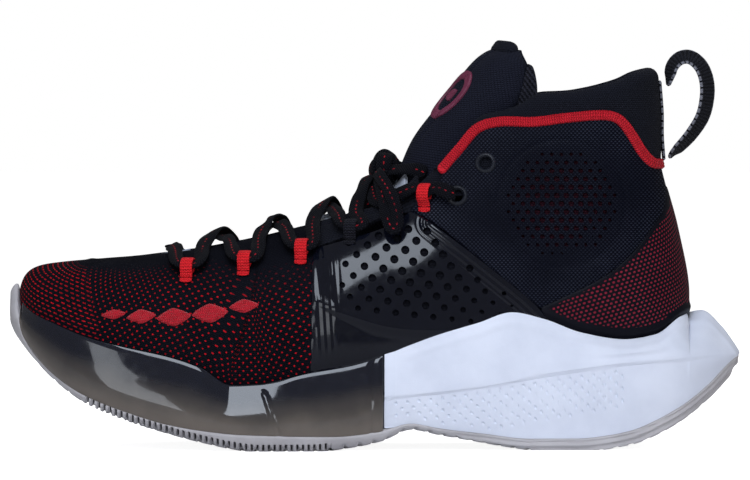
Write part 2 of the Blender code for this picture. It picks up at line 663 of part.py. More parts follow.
def build_tongue():
    tongue_sheet("tongue_lower", TONGUE, PADDING, TONGUE_THICKNESS)
    tongue_sheet("tongue_upper", TONGUE_TOP, PADDING, TONGUE_THICKNESS)
    badge = [(fx, fz, fx + (ex - fx) * 0.14, fz + (ez - fz) * 0.14, wide * 0.5)
             for fx, fz, ex, ez, wide in rows_between(TONGUE_TOP, 1.6, 3.6, 4)]
    tongue_sheet("tongue_badge", badge, PLUM, 0.8, lift=1.4, per_row=1, half=3)
    last = TONGUE_TOP[-1]
    tip = [(last[0] + k * 0.9, last[1] + k * 1.3, last[2] - k * 0.6, last[3] + k * 1.2, last[4] - 3 * k)
           for k in (0.35, 1.0, 1.6, 2.0)]
    tongue_sheet("tongue_binding", tip, PADDING, 2.4, per_row=1, half=4)
    patch = [(fx, fz + 0.2, fx + (ex - fx) * 0.1, fz + (ez - fz) * 0.1, wide * 0.42)
             for fx, fz, ex, ez, wide in rows_between(TONGUE, 0.2, 4.6, 9)]
    tongue_sheet("throat_film", patch, GREY_FILM, 0.7, lift=1.2, per_row=1, half=3)


# ---------------------------------------------------------------- trims
def frame_matrix(place, normal, up):
    """Local X along the shoe, Y up the surface, Z out of it, at a place in millimetres."""
    out = normal.normalized()
    across = up.cross(out).normalized()
    rise = out.cross(across).normalized()
    rotation = Matrix((across, rise, out)).transposed().to_4x4()
    return Matrix.Translation(place) @ rotation


def eyelet_cutter(name, x, z, side):
    place, normal = on_last(x, z, side)
    bm = bmesh.new()
    bmesh.ops.create_cone(bm, cap_ends=True, segments=16, radius1=EYELET_OUTER / 2 - 1.1,
                          radius2=EYELET_OUTER / 2 - 1.1, depth=14.0)
    bmesh.ops.transform(bm, matrix=frame_matrix(place, normal, Vector((0, 0, 1))), verts=bm.verts)
    return finish(mesh_from(bm, name), name, STIFF, CUTTERS)


def eyelet(name, x, z, side):
    """A turned ring with a flange outside the panel and a barrel through it."""
    place, normal = on_last(x, z, side)
    hole, barrel, flange = EYELET_HOLE / 2, EYELET_OUTER / 2 - 1.5, EYELET_OUTER / 2
    profile = [(hole, -1.0), (barrel, -1.0), (barrel, 0.35), (flange, 0.35), (flange - 0.5, 1.3), (hole + 0.5, 1.5)]
    bm = bmesh.new()
    steps = 20
    rings = []
    for k in range(steps):
        turn = 2 * math.pi * k / steps
        rings.append([bm.verts.new((r * math.cos(turn), r * math.sin(turn), h)) for r, h in profile])
    for a, b in zip(rings, rings[1:] + rings[:1]):
        for k in range(len(profile)):
            bm.faces.new((a[k], b[k], b[(k + 1) % len(profile)], a[(k + 1) % len(profile)]))
    bmesh.ops.transform(bm, matrix=frame_matrix(place, normal, Vector((0, 0, 1))), verts=bm.verts)
    return finish(mesh_from(bm, name), name, PLASTIC)


LOOP_LIFT = 0.9
LOOP_RISE = 6.2
LOOP_STRAP = 1.0
LOOP_HALF = 6.0


def loop_frame(x, z, side):
    place, normal = on_last(x, z, side, LOOP_LIFT)
    return frame_matrix(place, normal, Vector((0, 0, 1)))


def lace_loop(name, x, z, side, look):
    """A flat link of webbing lying on the upper, with room for the lace to pass through it."""
    outer = rounded_link(LOOP_HALF, LOOP_RISE, 1.6, 3)
    inner = rounded_link(LOOP_HALF - LOOP_STRAP, LOOP_RISE - 2 * LOOP_STRAP, 0.9, 3)
    bm = bmesh.new()
    loops = []
    for x_local in (-LOOP_WIDTH / 2, LOOP_WIDTH / 2):
        loops.append([bm.verts.new((x_local, y, h)) for y, h in outer])
        loops.append([bm.verts.new((x_local, y, h + LOOP_STRAP)) for y, h in inner])
    count = len(outer)
    for k in range(count):
        n = (k + 1) % count
        bm.faces.new((loops[0][k], loops[0][n], loops[2][n], loops[2][k]))
        bm.faces.new((loops[1][k], loops[3][k], loops[3][n], loops[1][n]))
        bm.faces.new((loops[0][k], loops[1][k], loops[1][n], loops[0][n]))
        bm.faces.new((loops[2][k], loops[2][n], loops[3][n], loops[3][k]))
    bmesh.ops.transform(bm, matrix=loop_frame(x, z, side), verts=bm.verts)
    return finish(mesh_from(bm, name), name, look)


def rounded_link(half_long, rise, radius, steps):
    """A rounded rectangle standing on its long side: half length, height, corner radius."""
    points = []
    corners = ((half_long - radius, rise - radius, 0), (-half_long + radius, rise - radius, 90),
               (-half_long + radius, radius, 180), (half_long - radius, radius, 270))
    for y, h, start in corners:
        for k in range(steps + 1):
            turn = math.radians(start + 90 * k / steps)
            points.append((y + radius * math.cos(turn), h + radius * math.sin(turn)))
    return points


def build_piping():
    """One band of webbing over both ankle panels, meeting behind the heel."""
    half = PIPING_WIDTH / 2
    for name, side in SIDES.items():
        upper = []
        lower = []
        for (x0, z0), (x1, z1) in zip(PIPING, PIPING[1:]):
            slope = Vector((x1 - x0, z1 - z0)).normalized()
            upper.append((x0 - slope.y * half, z0 + slope.x * half))
            lower.append((x0 + slope.y * half, z0 - slope.x * half))
        upper.append((124.0, PIPING[-1][1] + half))
        lower.append((124.0, PIPING[-1][1] - half))
        band = layer_shell(f"collar_piping_{name}", *RAISED_LAYER, RED)
        keep(band, lower + list(reversed(upper)), name)


def build_loops():
    for name, side in SIDES.items():
        for k, (x, z) in enumerate(LACE_LOOPS):
            lace_loop(f"lace_loop_{k + 1}_{name}", x, z, side, RED)
        lace_loop(f"hidden_loop_{name}", HIDDEN_LOOP[0], HIDDEN_LOOP[1], side, PLASTIC)
        for k, (x, z) in enumerate(EYELETS):
            eyelet(f"eyelet_{('lower', 'upper')[k]}_{name}", x, z, side)


PULL_ROUTE = ((123.4, 153.6), (124.6, 159.0), (128.0, 162.4), (132.4, 162.6), (136.6, 159.0), (138.9, 153.2),
              (139.2, 146.4), (137.4, 138.2), (133.0, 131.0), (128.2, 125.6), (124.8, 122.6))
PULL_AXIS_X = 120.6


def strip(name, route, half, thick, look, x_axis=0.0):
    """A ribbon standing across the shoe along a route of the side view."""
    bm = bmesh.new()
    path = smooth_path(list(route), 2)
    rings = []
    for k, here in enumerate(path):
        ahead = path[min(k + 1, len(path) - 1)] - path[max(k - 1, 0)]
        out = Vector((-ahead.y, ahead.x)).normalized() * thick / 2
        rings.append([
            bm.verts.new((here.x + s * out.x - x_axis, y, here.y + s * out.y))
            for s, y in ((1, -half), (1, half), (-1, half), (-1, -half))
        ])
    for a, b in zip(rings, rings[1:]):
        for k in range(4):
            bm.faces.new((a[k], b[k], b[(k + 1) % 4], a[(k + 1) % 4]))
    bm.faces.new(rings[0])
    bm.faces.new(rings[-1])
    obj = finish(mesh_from(bm, name), name, look)
    obj.location = (x_axis * MM, 0.0, 0.0)
    return obj


def build_pull_loop():
    strip("pull_loop", PULL_ROUTE, PULL_WIDTH / 2, PULL_THICKNESS, PADDING, PULL_AXIS_X)
    heel = [(on_heel(z), z) for z in (120.8, 130.0, 140.0, 152.0)]
    strip("pull_anchor_upper", heel, PULL_WIDTH / 2, ANCHOR_THICKNESS, PADDING)


def on_heel(z):
    """Where the back of the last is at a height."""
    return LAST_TREE.ray_cast(Vector((300.0, 0.0, z)), Vector((-1, 0, 0)))[0].x


def build_accents():
    """The raised embroidered pad on each side of the forefoot."""
    for name in SIDES:
        outline = [(-112.0, 56.5), (-90.0, 50.5), (-60.0, 53.5), (-48.0, 60.0), (-66.0, 62.5), (-92.0, 61.0)]
        keep(layer_shell(f"forefoot_accent_{name}", *ACCENT_LAYER, RED), outline, name)


# ---------------------------------------------------------------- laces
def tube(name, route, diameter, look, per_span=3):
    """A round cord through the route's points, with filled ends."""
    points = smooth_path([tuple(p) for p in route], per_span)
    curve = bpy.data.curves.new(name, "CURVE")
    curve.dimensions = "3D"
    curve.bevel_depth = diameter * MM / 2
    curve.bevel_resolution = 1
    curve.use_fill_caps = True
    spline = curve.splines.new("POLY")
    spline.points.add(len(points) - 1)
    for place, point in zip(spline.points, points):
        place.co = (point.x * MM, point.y * MM, point.z * MM, 1.0)
    obj = bpy.data.objects.new(name, curve)
    SHOE.objects.link(obj)
    curve.materials.append(look)
    return obj


def over_throat(x, lift):
    """A point above the middle of the throat."""
    hit = LAST_TREE.ray_cast(Vector((x, 0.0, 300.0)), Vector((0, 0, -1)))[0]
    return Vector((x, 0.0, hit.z + lift))


def over_facing(x, y, lift):
    """A point above the facing beside the throat."""
    hit, normal, _, _ = LAST_TREE.ray_cast(Vector((x, y, 300.0)), Vector((0, 0, -1)))
    return hit + normal * (lift if normal.z > 0 else -lift)


LACE_STOPS = LACE_LOOPS[:3] + (HIDDEN_LOOP, LACE_LOOPS[3])


def through_loop(x, z, side):
    """The three points of a lace's way through a loop, toe side first."""
    frame = loop_frame(x, z, side)
    height = LOOP_RISE / 2
    return [frame @ Vector((dx * -side, rise, height)) for dx, rise in ((5.6, 0.4), (0.0, -1.0), (-5.6, 0.4))]


def lace_route(start_side):
    """Half the lace: from beside the middle of the lowest bar, zigzag through the loops to the eyelet."""
    side = start_side
    route = [over_throat(-85.0, 3.0) + Vector((0, 2.2 * side, 0)), over_facing(-83.0, side * 15.0, 3.0)]
    for k, (x, z) in enumerate(LACE_STOPS):
        passing = through_loop(x, z, side)
        if passing[0].x > passing[-1].x:
            passing.reverse()
        route += passing
        if k + 1 < len(LACE_STOPS):
            middle = x + (LACE_STOPS[k + 1][0] - x) * (0.5 if k < 3 else 0.38)
            over = (k % 2 == 0) == (start_side < 0)
            lift = 7.4 if over else 3.2
            reach = 17.0 + k
            route.append(over_facing(middle - 5.0, side * reach, 3.6))
            route.append(over_throat(middle, lift))
            route.append(over_facing(middle + 5.0, -side * reach, 3.6))
            side = -side
    x, z = EYELETS[0]
    place, normal = on_last(x, z, side)
    route.append(place + normal * 4.6 + Vector((-3.0, 0, 0.5)))
    route.append(place + normal * 3.4 + Vector((-0.6, 0, 0.1)))
    return route


def on_tongue(y, z, lift):
    """A point in front of the tongue at a place in the front view."""
    rows = TONGUE + TONGUE_TOP[1:]
    for k in range(20 * (len(rows) - 1)):
        fx, fz, ex, ez, wide = spline_point(rows, k / 20)
        along = 1 - math.sqrt(max(0.0, 1 - (y / wide) ** 2))
        if fz + (ez - fz) * along >= z:
            return Vector((fx + (ex - fx) * along - lift, y, z + 0.25 * lift))
    return Vector((fx, y, z))


# The knot and the free parts of the lace: each route starts at the knot.
KNOT_HEIGHT = 118.0
KNOT_LIFT = 6.2
KNOT_SIZE = (4.4, 7.6, 5.6)
# Places on the last as x, z and height over it.
BOW_LOOP = ((7.5, 108.0, 8.0), (8.0, 101.5, 8.0), (7.4, 94.5, 6.0), (7.8, 89.4, 3.4), (8.8, 88.0, 5.6),
            (8.0, 93.6, 9.6), (8.4, 101.0, 12.2), (7.0, 108.4, 12.6))
TAILS = (
    ((15.0, 112.0, 12.0), (24.0, 108.0, 10.0), (32.0, 97.0, 7.5), (36.0, 88.0, 4.4), (38.0, 79.0, 3.6)),
    ((4.0, 103.0, 14.0), (-6.0, 97.0, 12.0), (-15.0, 91.0, 8.5), (-20.0, 83.0, 4.6), (-21.5, 72.0, 2.6)),
)


def build_knot():
    centre = on_tongue(0.0, KNOT_HEIGHT, KNOT_LIFT)
    bm = bmesh.new()
    bmesh.ops.create_uvsphere(bm, u_segments=14, v_segments=8, radius=1.0)
    bmesh.ops.scale(bm, vec=KNOT_SIZE, verts=bm.verts)
    bmesh.ops.rotate(bm, matrix=Matrix.Rotation(math.radians(20), 3, "Y"), verts=bm.verts)
    bmesh.ops.translate(bm, vec=centre, verts=bm.verts)
    finish(mesh_from(bm, "lace_knot"), "lace_knot", LACE)
    return centre


def build_runs(knot):
    """The two short runs from under the facings to the knot."""
    for name, side in SIDES.items():
        route = [on_tongue(side * 17.5, 113.6, 3.6), on_tongue(side * 14.0, 115.4, 3.8)]
        route.append(knot + Vector((0.0, side * 9.6, -0.6)))
        tube(f"lace_run_{name}", route, LACE_TUBE, LACE)


def build_bow(knot):
    """A loop on each side of the knot, and the two ends of the lace on the medial side, with their aglets."""
    for name, side in SIDES.items():
        ends = [knot + Vector((dx, side * 8.6, -5.2)) for dx in (1.6, -3.2)]
        middle = [on_last(x, z, side, lift)[0] for x, z, lift in BOW_LOOP]
        tube(f"bow_loop_{name}", [ends[0]] + middle + [ends[1]], LACE_TUBE, LACE)
    for k, (tail, start) in enumerate(zip(TAILS, ((1.0, 6.4, 6.6), (-4.4, 4.4, 6.8)))):
        route = [knot + Vector(start)] + [on_last(x, z, 1, lift)[0] for x, z, lift in tail]
        tube(f"lace_tail_{k + 1}", route, LACE_TUBE, LACE)
        run = (route[-1] - route[-2]).normalized()
        first = route[-1] + run * GAP
        tube(f"aglet_{k + 1}", [first, first + run * AGLET_LENGTH], LACE_TUBE + 0.4, PLASTIC, 1)


def build_laces():
    for name, side in SIDES.items():
        tube(f"lace_half_{name}", lace_route(side), LACE_TUBE, LACE, 2)
    knot = build_knot()
    build_runs(knot)
    build_bow(knot)


GUSSET = ((58.8, 140.6), (66.5, 143.0), (67.8, 150.0), (66.2, 158.4), (63.8, 159.4), (62.6, 155.0), (61.4, 150.0))


def build_gussets():
    """The elastic strips that join the tongue's edges to the collar."""
    for name, side in SIDES.items():
        low, high = sorted((side * 18.6, side * 20.0))
        strap = prism(f"tongue_gusset_{name}", GUSSET, low, high)
        CUTTERS.objects.unlink(strap)
        SHOE.objects.link(strap)
        strap.hide_render = False
        strap.display_type = "TEXTURED"
        strap.data.materials[0] = PADDING


def build_all():
    build_vamp()
    build_cages()
    build_eyestays()
    build_ankle_panels()
    build_heel()
    build_collar()
    build_underfoot()
    build_outsole()
    build_forefoot()
    build_heel_midsole()
    build_tongue()
    build_gussets()
    build_piping()
    build_loops()
    build_pull_loop()
    build_accents()
    build_laces()


build_all()
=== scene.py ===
"""Basketball high top, left foot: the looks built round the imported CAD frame.

Frame: metres, +Z up, +X towards the heel, -Y the lateral side. Tables and helpers work in millimetres and
repeat part.py's lines at a finer step; meshes are scaled to metres as they are made.
"""

import math

import bmesh
import bpy
import numpy as np
from mathutils import Matrix, Vector
from mathutils.bvhtree import BVHTree
from mathutils.kdtree import KDTree


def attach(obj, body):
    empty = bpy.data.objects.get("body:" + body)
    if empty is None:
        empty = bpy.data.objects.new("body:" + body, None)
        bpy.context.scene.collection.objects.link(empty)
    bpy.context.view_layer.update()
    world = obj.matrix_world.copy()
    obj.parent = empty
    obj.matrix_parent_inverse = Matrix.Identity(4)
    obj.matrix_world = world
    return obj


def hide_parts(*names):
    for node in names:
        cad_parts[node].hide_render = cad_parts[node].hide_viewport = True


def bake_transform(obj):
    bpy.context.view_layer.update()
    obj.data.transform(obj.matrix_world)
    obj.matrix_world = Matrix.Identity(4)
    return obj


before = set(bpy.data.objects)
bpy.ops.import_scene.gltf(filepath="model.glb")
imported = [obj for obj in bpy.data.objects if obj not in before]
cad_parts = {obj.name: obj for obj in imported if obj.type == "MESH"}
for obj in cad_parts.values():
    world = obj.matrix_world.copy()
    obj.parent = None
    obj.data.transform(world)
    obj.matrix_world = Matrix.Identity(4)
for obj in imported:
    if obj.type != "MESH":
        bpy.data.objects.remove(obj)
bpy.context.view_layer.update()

MM = 0.001
UV_PER_MM = 0.01
SIDES = {"lateral": -1, "medial": 1}
WIDEST = 0.62  # where a ring of the last is widest, from its top to its bottom

# ---------------------------------------------------------------- camera
SENSOR = 36.0
VIEW_WIDTH = 0.314
CAMERA_DISTANCE = 4.0
CAMERA_ELEVATION = math.radians(1.5)
AIM = Vector((0.0002, 0.0, 0.0862))


def make_camera():
    data = bpy.data.cameras.new("camera")
    data.sensor_width = SENSOR
    data.lens = SENSOR * CAMERA_DISTANCE / VIEW_WIDTH
    camera = bpy.data.objects.new("camera", data)
    bpy.context.scene.collection.objects.link(camera)
    back = Vector((0.0, -math.cos(CAMERA_ELEVATION), math.sin(CAMERA_ELEVATION)))
    camera.location = AIM + back * CAMERA_DISTANCE
    camera.rotation_euler = (math.pi / 2 - CAMERA_ELEVATION, 0.0, 0.0)
    bpy.context.scene.camera = camera


make_camera()

# ---------------------------------------------------------------- tables, as in part.py
# The last: front x, z; back x, z; lateral and medial half-width; sideways shift; top and bottom squareness.
LAST = np.array((
    (-148.6, 61.0, -148.6, 61.0, 0.0, 0.0, 5.0, 2.0, 2.0),
    (-147.9, 67.2, -147.6, 54.4, 12.0, 13.0, 5.0, 2.1, 2.2),
    (-145.3, 72.2, -144.2, 48.2, 21.0, 23.0, 3.5, 2.2, 2.4),
    (-140.0, 75.2, -138.5, 43.0, 29.0, 32.0, 2.0, 2.3, 2.7),
    (-130.0, 76.8, -129.0, 37.4, 35.5, 40.0, 1.0, 2.4, 3.0),
    (-114.0, 78.2, -114.0, 30.0, 41.5, 45.5, 0.0, 2.4, 3.2),
    (-94.0, 80.0, -94.0, 22.8, 46.5, 48.5, 0.0, 2.3, 3.3),
    (-68.0, 84.4, -68.0, 17.2, 50.5, 49.5, 0.0, 2.2, 3.4),
    (-42.0, 90.4, -40.0, 15.6, 51.0, 46.5, 0.0, 2.15, 3.4),
    (-16.0, 98.6, -9.0, 17.2, 48.0, 41.5, 0.0, 2.1, 3.3),
    (3.0, 105.6, 24.0, 20.0, 43.5, 37.5, 0.0, 2.2, 3.2),
    (11.0, 114.0, 60.0, 23.0, 40.0, 35.5, 0.0, 2.4, 3.0),
    (16.0, 124.0, 98.0, 25.5, 37.5, 35.0, 0.0, 2.6, 2.6),
    (22.0, 134.5, 126.5, 38.0, 36.0, 34.5, 0.0, 2.6, 2.2),
    (29.0, 144.5, 131.4, 63.0, 34.5, 34.0, 0.0, 2.6, 2.1),
    (36.0, 153.0, 126.8, 91.0, 33.0, 33.0, 0.0, 2.5, 2.1),
    (41.0, 160.0, 119.6, 119.0, 31.5, 31.5, 0.0, 2.4, 2.1),
    (46.0, 166.0, 118.6, 142.0, 31.0, 31.0, 0.0, 2.4, 2.1),
    (51.0, 172.0, 116.5, 166.0, 30.5, 30.5, 0.0, 2.4, 2.1),
))
# The sole: x, ground line, height of greatest width, top edge, lateral and medial half-width.
SOLE = np.array((
    (-152.5, 56.0, 58.5, 61.0, 2.0, 12.0), (-151.6, 52.2, 57.0, 65.0, 9.0, 18.0),
    (-149.6, 48.0, 54.5, 67.5, 16.0, 23.5), (-148.2, 46.0, 53.0, 62.4, 19.0, 26.0),
    (-143.0, 39.6, 47.5, 57.0, 27.0, 33.0), (-133.0, 29.4, 38.5, 52.3, 36.0, 41.0),
    (-120.0, 20.0, 30.5, 47.2, 43.5, 47.5), (-104.0, 13.3, 24.0, 43.0, 50.0, 54.0),
    (-86.0, 7.8, 19.0, 39.3, 54.6, 56.8), (-72.0, 4.2, 15.0, 34.8, 56.6, 57.0),
    (-59.0, 1.4, 12.0, 27.6, 57.0, 55.6), (-48.0, 0.0, 11.5, 28.0, 57.0, 53.2),
    (-28.0, 0.0, 12.5, 32.3, 56.0, 51.0), (-9.0, 2.0, 14.5, 35.7, 54.5, 46.8),
    (3.0, 4.6, 19.5, 39.3, 53.0, 43.5), (15.0, 9.2, 23.5, 44.0, 51.0, 42.0),
    (27.0, 6.9, 24.8, 48.3, 49.0, 40.5), (43.0, 4.0, 26.6, 53.0, 47.0, 39.5),
    (57.0, 1.5, 29.0, 57.3, 45.5, 39.5), (70.0, 0.0, 31.2, 54.6, 44.5, 40.0),
    (86.0, 0.0, 33.5, 48.8, 43.5, 39.5), (104.0, 2.4, 35.8, 45.9, 41.5, 39.0),
    (117.0, 6.6, 37.0, 47.8, 38.0, 36.5), (128.0, 12.7, 37.8, 55.0, 33.0, 32.0),
    (137.0, 19.8, 38.2, 57.0, 26.5, 26.0), (145.5, 27.6, 38.6, 50.2, 18.0, 18.0),
    (150.5, 34.2, 38.8, 43.5, 10.0, 10.0), (152.5, 38.0, 39.2, 40.4, 2.5, 2.5),
))
# The upper edges of the outsole, and of the board under the foot.
OUTSOLE_TOP = np.array((
    (-152.6, 75.0), (-148.6, 72.0), (-148.4, 62.0), (-147.8, 52.0), (-145.0, 44.5), (-138.0, 35.5),
    (-127.6, 27.0), (-118.0, 21.8), (-104.0, 16.6), (-86.5, 11.4), (-72.0, 8.8), (-54.0, 7.0),
    (-17.0, 6.2), (1.4, 8.0),
    (15.0, 11.4), (27.0, 9.4), (46.0, 7.0), (64.0, 4.9), (84.0, 4.9), (97.0, 6.2), (107.0, 8.3),
    (118.0, 12.9), (128.5, 18.8), (139.0, 26.8), (149.0, 36.4), (158.0, 42.0),
))
FEATHER = np.array((
    (-165.0, 60.0), (-149.0, 59.0), (-143.0, 52.0), (-135.0, 45.5), (-123.0, 38.5), (-108.0, 32.0),
    (-88.0, 25.6), (-66.0, 21.2), (-38.0, 19.8), (-8.0, 21.4), (24.0, 24.4), (60.0, 27.6), (98.0, 31.0),
    (116.0, 35.0), (127.0, 42.0), (150.0, 47.0),
))
# The throat's half-width along the shoe, then lines of the side view.
THROAT = ((-92.0, 0.0), (-90.0, 5.0), (-84.0, 9.5), (-72.0, 12.0), (-40.0, 14.0), (-14.0, 16.0),
          (0.0, 17.5), (11.0, 19.5), (22.0, 21.5), (34.0, 22.5), (42.0, 22.5))
COLLAR_EDGE = ((0.0, 96.0), (20.0, 112.0), (28.0, 119.5), (36.0, 128.5), (43.0, 137.0), (53.0, 139.5),
               (60.0, 142.0), (67.5, 146.0), (83.0, 147.0), (101.0, 151.0), (111.0, 155.0), (125.0, 158.5))
PIPING = ((28.5, 116.5), (35.7, 125.0), (43.0, 133.2), (52.4, 136.0), (66.0, 136.0), (79.0, 137.6),
          (92.5, 138.8), (99.0, 138.2), (103.0, 135.6), (107.0, 130.0), (111.0, 123.4), (115.0, 119.2),
          (119.0, 118.2), (128.0, 118.2))
CAGE_TOP = ((-26.0, 84.6), (-10.8, 90.0), (1.4, 96.7), (13.5, 99.2), (24.4, 93.8))
CAGE_REAR = ((24.4, 93.8), (46.0, 77.4), (69.2, 58.0), (80.0, 40.0), (84.0, 20.0))
REAR_SEAM = ((122.5, 113.5), (120.6, 100.0), (116.0, 93.0), (109.0, 83.7), (101.0, 76.0), (91.0, 69.4),
             (76.5, 62.4), (69.6, 59.4))
# The tongue: face x, z; edge x, z; half-width.
TONGUE = np.array((
    (-88.0, 74.0, -87.0, 71.0, 14.0), (-68.0, 77.6, -67.0, 72.0, 18.0), (-42.0, 83.2, -39.0, 75.0, 20.0),
    (-17.0, 91.2, -11.0, 80.0, 20.5), (-1.0, 99.0, 13.0, 87.0, 20.5), (6.6, 108.0, 30.0, 98.0, 20.5),
    (10.4, 119.4, 43.5, 112.8, 20.5), (15.4, 130.0, 50.0, 126.0, 19.8), (23.6, 141.0, 56.0, 138.0, 20.4),
    (33.0, 152.5, 60.5, 150.0, 21.2), (42.5, 163.0, 62.0, 161.0, 20.5), (50.5, 168.4, 61.5, 167.4, 15.0),
))
LACE_LOOPS = ((-77.3, 73.0), (-53.6, 76.0), (-30.0, 81.0), (21.6, 104.0))
HIDDEN_LOOP = (-9.5, 89.0)
EYELETS = ((34.4, 105.3), (46.2, 118.9))
PULL_ROUTE = ((123.4, 153.6), (124.6, 159.0), (128.0, 162.4), (132.4, 162.6), (136.6, 159.0), (138.9, 153.2),
              (139.2, 146.4), (137.4, 138.2), (133.0, 131.0), (128.2, 125.6), (124.8, 122.6))
SLOTS = (-120.0, -18.5, 2.35, 3.4)  # forefoot teeth: from, to, pitch, height
GUSSET = ((58.8, 140.6), (66.5, 143.0), (67.8, 150.0), (66.2, 158.4), (63.8, 159.4), (62.6, 155.0),
          (61.4, 150.0))


# ---------------------------------------------------------------- lines and tables
def catmull(rows, at):
    """Catmull-Rom through equally spaced rows, at several places at once."""
    rows = np.asarray(rows, float)
    i = np.clip(at.astype(int), 0, len(rows) - 2)
    t = (at - i)[:, None]
    p, q, r, s = rows[np.maximum(i - 1, 0)], rows[i], rows[i + 1], rows[np.minimum(i + 2, len(rows) - 1)]
    return 0.5 * (2 * q + (r - p) * t + (2 * p - 5 * q + 4 * r - s) * t**2 + (3 * q - p - 3 * r + s) * t**3)


def smooth_line(points):
    """A smooth line through points, in eight steps between each two."""
    return catmull(points, np.linspace(0, len(points) - 1, (len(points) - 1) * 8 + 1))


def pchip(xs, ys, at):
    """A smooth line through a table that never overshoots it."""
    xs, ys = np.asarray(xs, float), np.asarray(ys, float)
    step = np.diff(xs)
    slope = np.diff(ys) / step
    tangent = np.concatenate([slope[:1], np.zeros(len(slope) - 1), slope[-1:]])
    same = slope[:-1] * slope[1:] > 0
    w0, w1 = 2 * step[1:] + step[:-1], step[1:] + 2 * step[:-1]
    safe = np.where(same[:, None], np.stack([slope[:-1], slope[1:]], 1), 1.0)
    tangent[1:-1] = np.where(same, (w0 + w1) / (w0 / safe[:, 0] + w1 / safe[:, 1]), 0.0)
    at = np.clip(at, xs[0], xs[-1])
    i = np.clip(np.searchsorted(xs, at) - 1, 0, len(step) - 1)
    t, h = (at - xs[i]) / step[i], step[i]
    return ((1 + 2 * t) * (1 - t) ** 2 * ys[i] + t * (1 - t) ** 2 * h * tangent[i]
            + t * t * (3 - 2 * t) * ys[i + 1] + t * t * (t - 1) * h * tangent[i + 1])


def height(table, x):
    """A line's height at x, from a table of x, z."""
    table = np.asarray(table)
    return pchip(table[:, 0], table[:, 1], x)


def smoothstep(low, high, value):
    t = np.clip((value - low) / (high - low), 0.0, 1.0)
    return t * t * (3 - 2 * t)


def bell(value, middle, width):
    return np.exp(-((value - middle) / width) ** 2)


def ripple(value, pitch):
    return np.cos(2 * math.pi * value / pitch)


def quarter(t):
    """A quarter circle's rise: 0 at t = 0, and 1 from t = 1."""
    return np.sqrt(1 - (1 - np.clip(t, 0.0, 1.0)) ** 2)


def lengths(line):
    """The length along a polyline at each of its points."""
    return np.concatenate([[0.0], np.cumsum(np.linalg.norm(np.diff(line, axis=0), axis=1))])


def to_line(points, line):
    """Distance of each 2-D point from a polyline, and how far along it the nearest place is."""
    line = np.asarray(line, float)
    a, ab = line[:-1], np.diff(line, axis=0)
    length = np.hypot(*ab.T)
    start = np.concatenate([[0.0], np.cumsum(length)])[:-1]
    best = np.full(len(points), 1e9)
    along = np.zeros(len(points))
    for k in range(len(a)):
        if length[k] < 1e-9:
            continue
        ap = points - a[k]
        t = np.clip(ap @ ab[k] / length[k] ** 2, 0.0, 1.0)
        d = np.hypot(*(ap - t[:, None] * ab[k]).T)
        near = d < best
        best[near] = d[near]
        along[near] = start[k] + t[near] * length[k]
    return best, along


def inside_by(points, outline):
    """Signed distance of 2-D points inside a closed outline: positive inside."""
    outline = np.asarray(outline, float)
    closed = np.vstack([outline, outline[:1]])
    within = np.zeros(len(points), bool)
    for (x0, z0), (x1, z1) in zip(closed, closed[1:]):
        crosses = (z0 > points[:, 1]) != (z1 > points[:, 1])
        if z1 != z0:
            at = x0 + (points[:, 1] - z0) / (z1 - z0) * (x1 - x0)
            within ^= crosses & (points[:, 0] < at)
    distance = to_line(points, closed)[0]
    return np.where(within, distance, -distance)


# ---------------------------------------------------------------- patches: points, normals and triangles
class Patch:
    """An open sheet of triangles whose per-vertex values follow it through every cut."""

    def __init__(self, tris, **values):
        self.tris, self.values = tris, values

    def __getattr__(self, name):
        return self.values[name]

    def cut(self, value):
        """Keeps what lies above zero. The edge runs between the vertices, so it is crisp."""
        value = np.asarray(value, float)
        value = np.where(np.abs(value) < 1e-6, 1e-6, value)
        count = (value[self.tris] > 0).sum(1)
        whole = self.tris[count == 3]
        split = self.tris[(count == 1) | (count == 2)]
        within = value[split] > 0
        odd = np.where(within.sum(1) == 1, within.argmax(1), (~within).argmax(1))
        split = split[np.arange(len(split))[:, None], (odd[:, None] + np.arange(3)) % 3]
        lone = value[split[:, 0]] > 0
        ends = np.sort(np.concatenate([split[:, [0, 1]], split[:, [0, 2]]]), axis=1)
        pairs, index = np.unique(ends, axis=0, return_inverse=True)
        index = index.reshape(-1) + len(value)
        a, b = pairs.T
        t = value[a] / (value[a] - value[b])
        p, q = index[: len(split)], index[len(split):]
        tris = [whole, np.stack([split[:, 0], p, q], 1)[lone],
                np.stack([p, split[:, 1], split[:, 2]], 1)[~lone], np.stack([p, split[:, 2], q], 1)[~lone]]
        tris = np.concatenate(tris)
        used, tris = np.unique(tris, return_inverse=True)
        values = {}
        for name, data in self.values.items():
            mix = t.reshape(-1, *[1] * (data.ndim - 1))
            values[name] = np.concatenate([data, data[a] * (1 - mix) + data[b] * mix])[used]
        return Patch(tris.reshape(-1, 3), **values)

    def side_view(self):
        return self.co[:, [0, 2]]

    def rim(self):
        """Directed edges with a triangle on one side only."""
        ends = np.concatenate([self.tris[:, [0, 1]], self.tris[:, [1, 2]], self.tris[:, [2, 0]]])
        _, index, count = np.unique(np.sort(ends, 1), axis=0, return_inverse=True, return_counts=True)
        return ends[count[index.reshape(-1)] == 1]

    def thick(self, outer, inner):
        """A closed shell between two lifts along the normals."""
        n = len(self.co)
        outer, inner = np.broadcast_to(outer, n), np.broadcast_to(inner, n)
        co = np.concatenate([self.co + self.no * outer[:, None], self.co + self.no * inner[:, None]])
        a, b = self.rim().T
        tris = np.concatenate([self.tris, self.tris[:, ::-1] + n,
                               np.stack([b, a, a + n], 1), np.stack([b, a + n, b + n], 1)])
        extra = {k: np.concatenate([v, v]) for k, v in self.values.items() if k not in ("co", "no")}
        return Patch(tris, co=co, **extra)


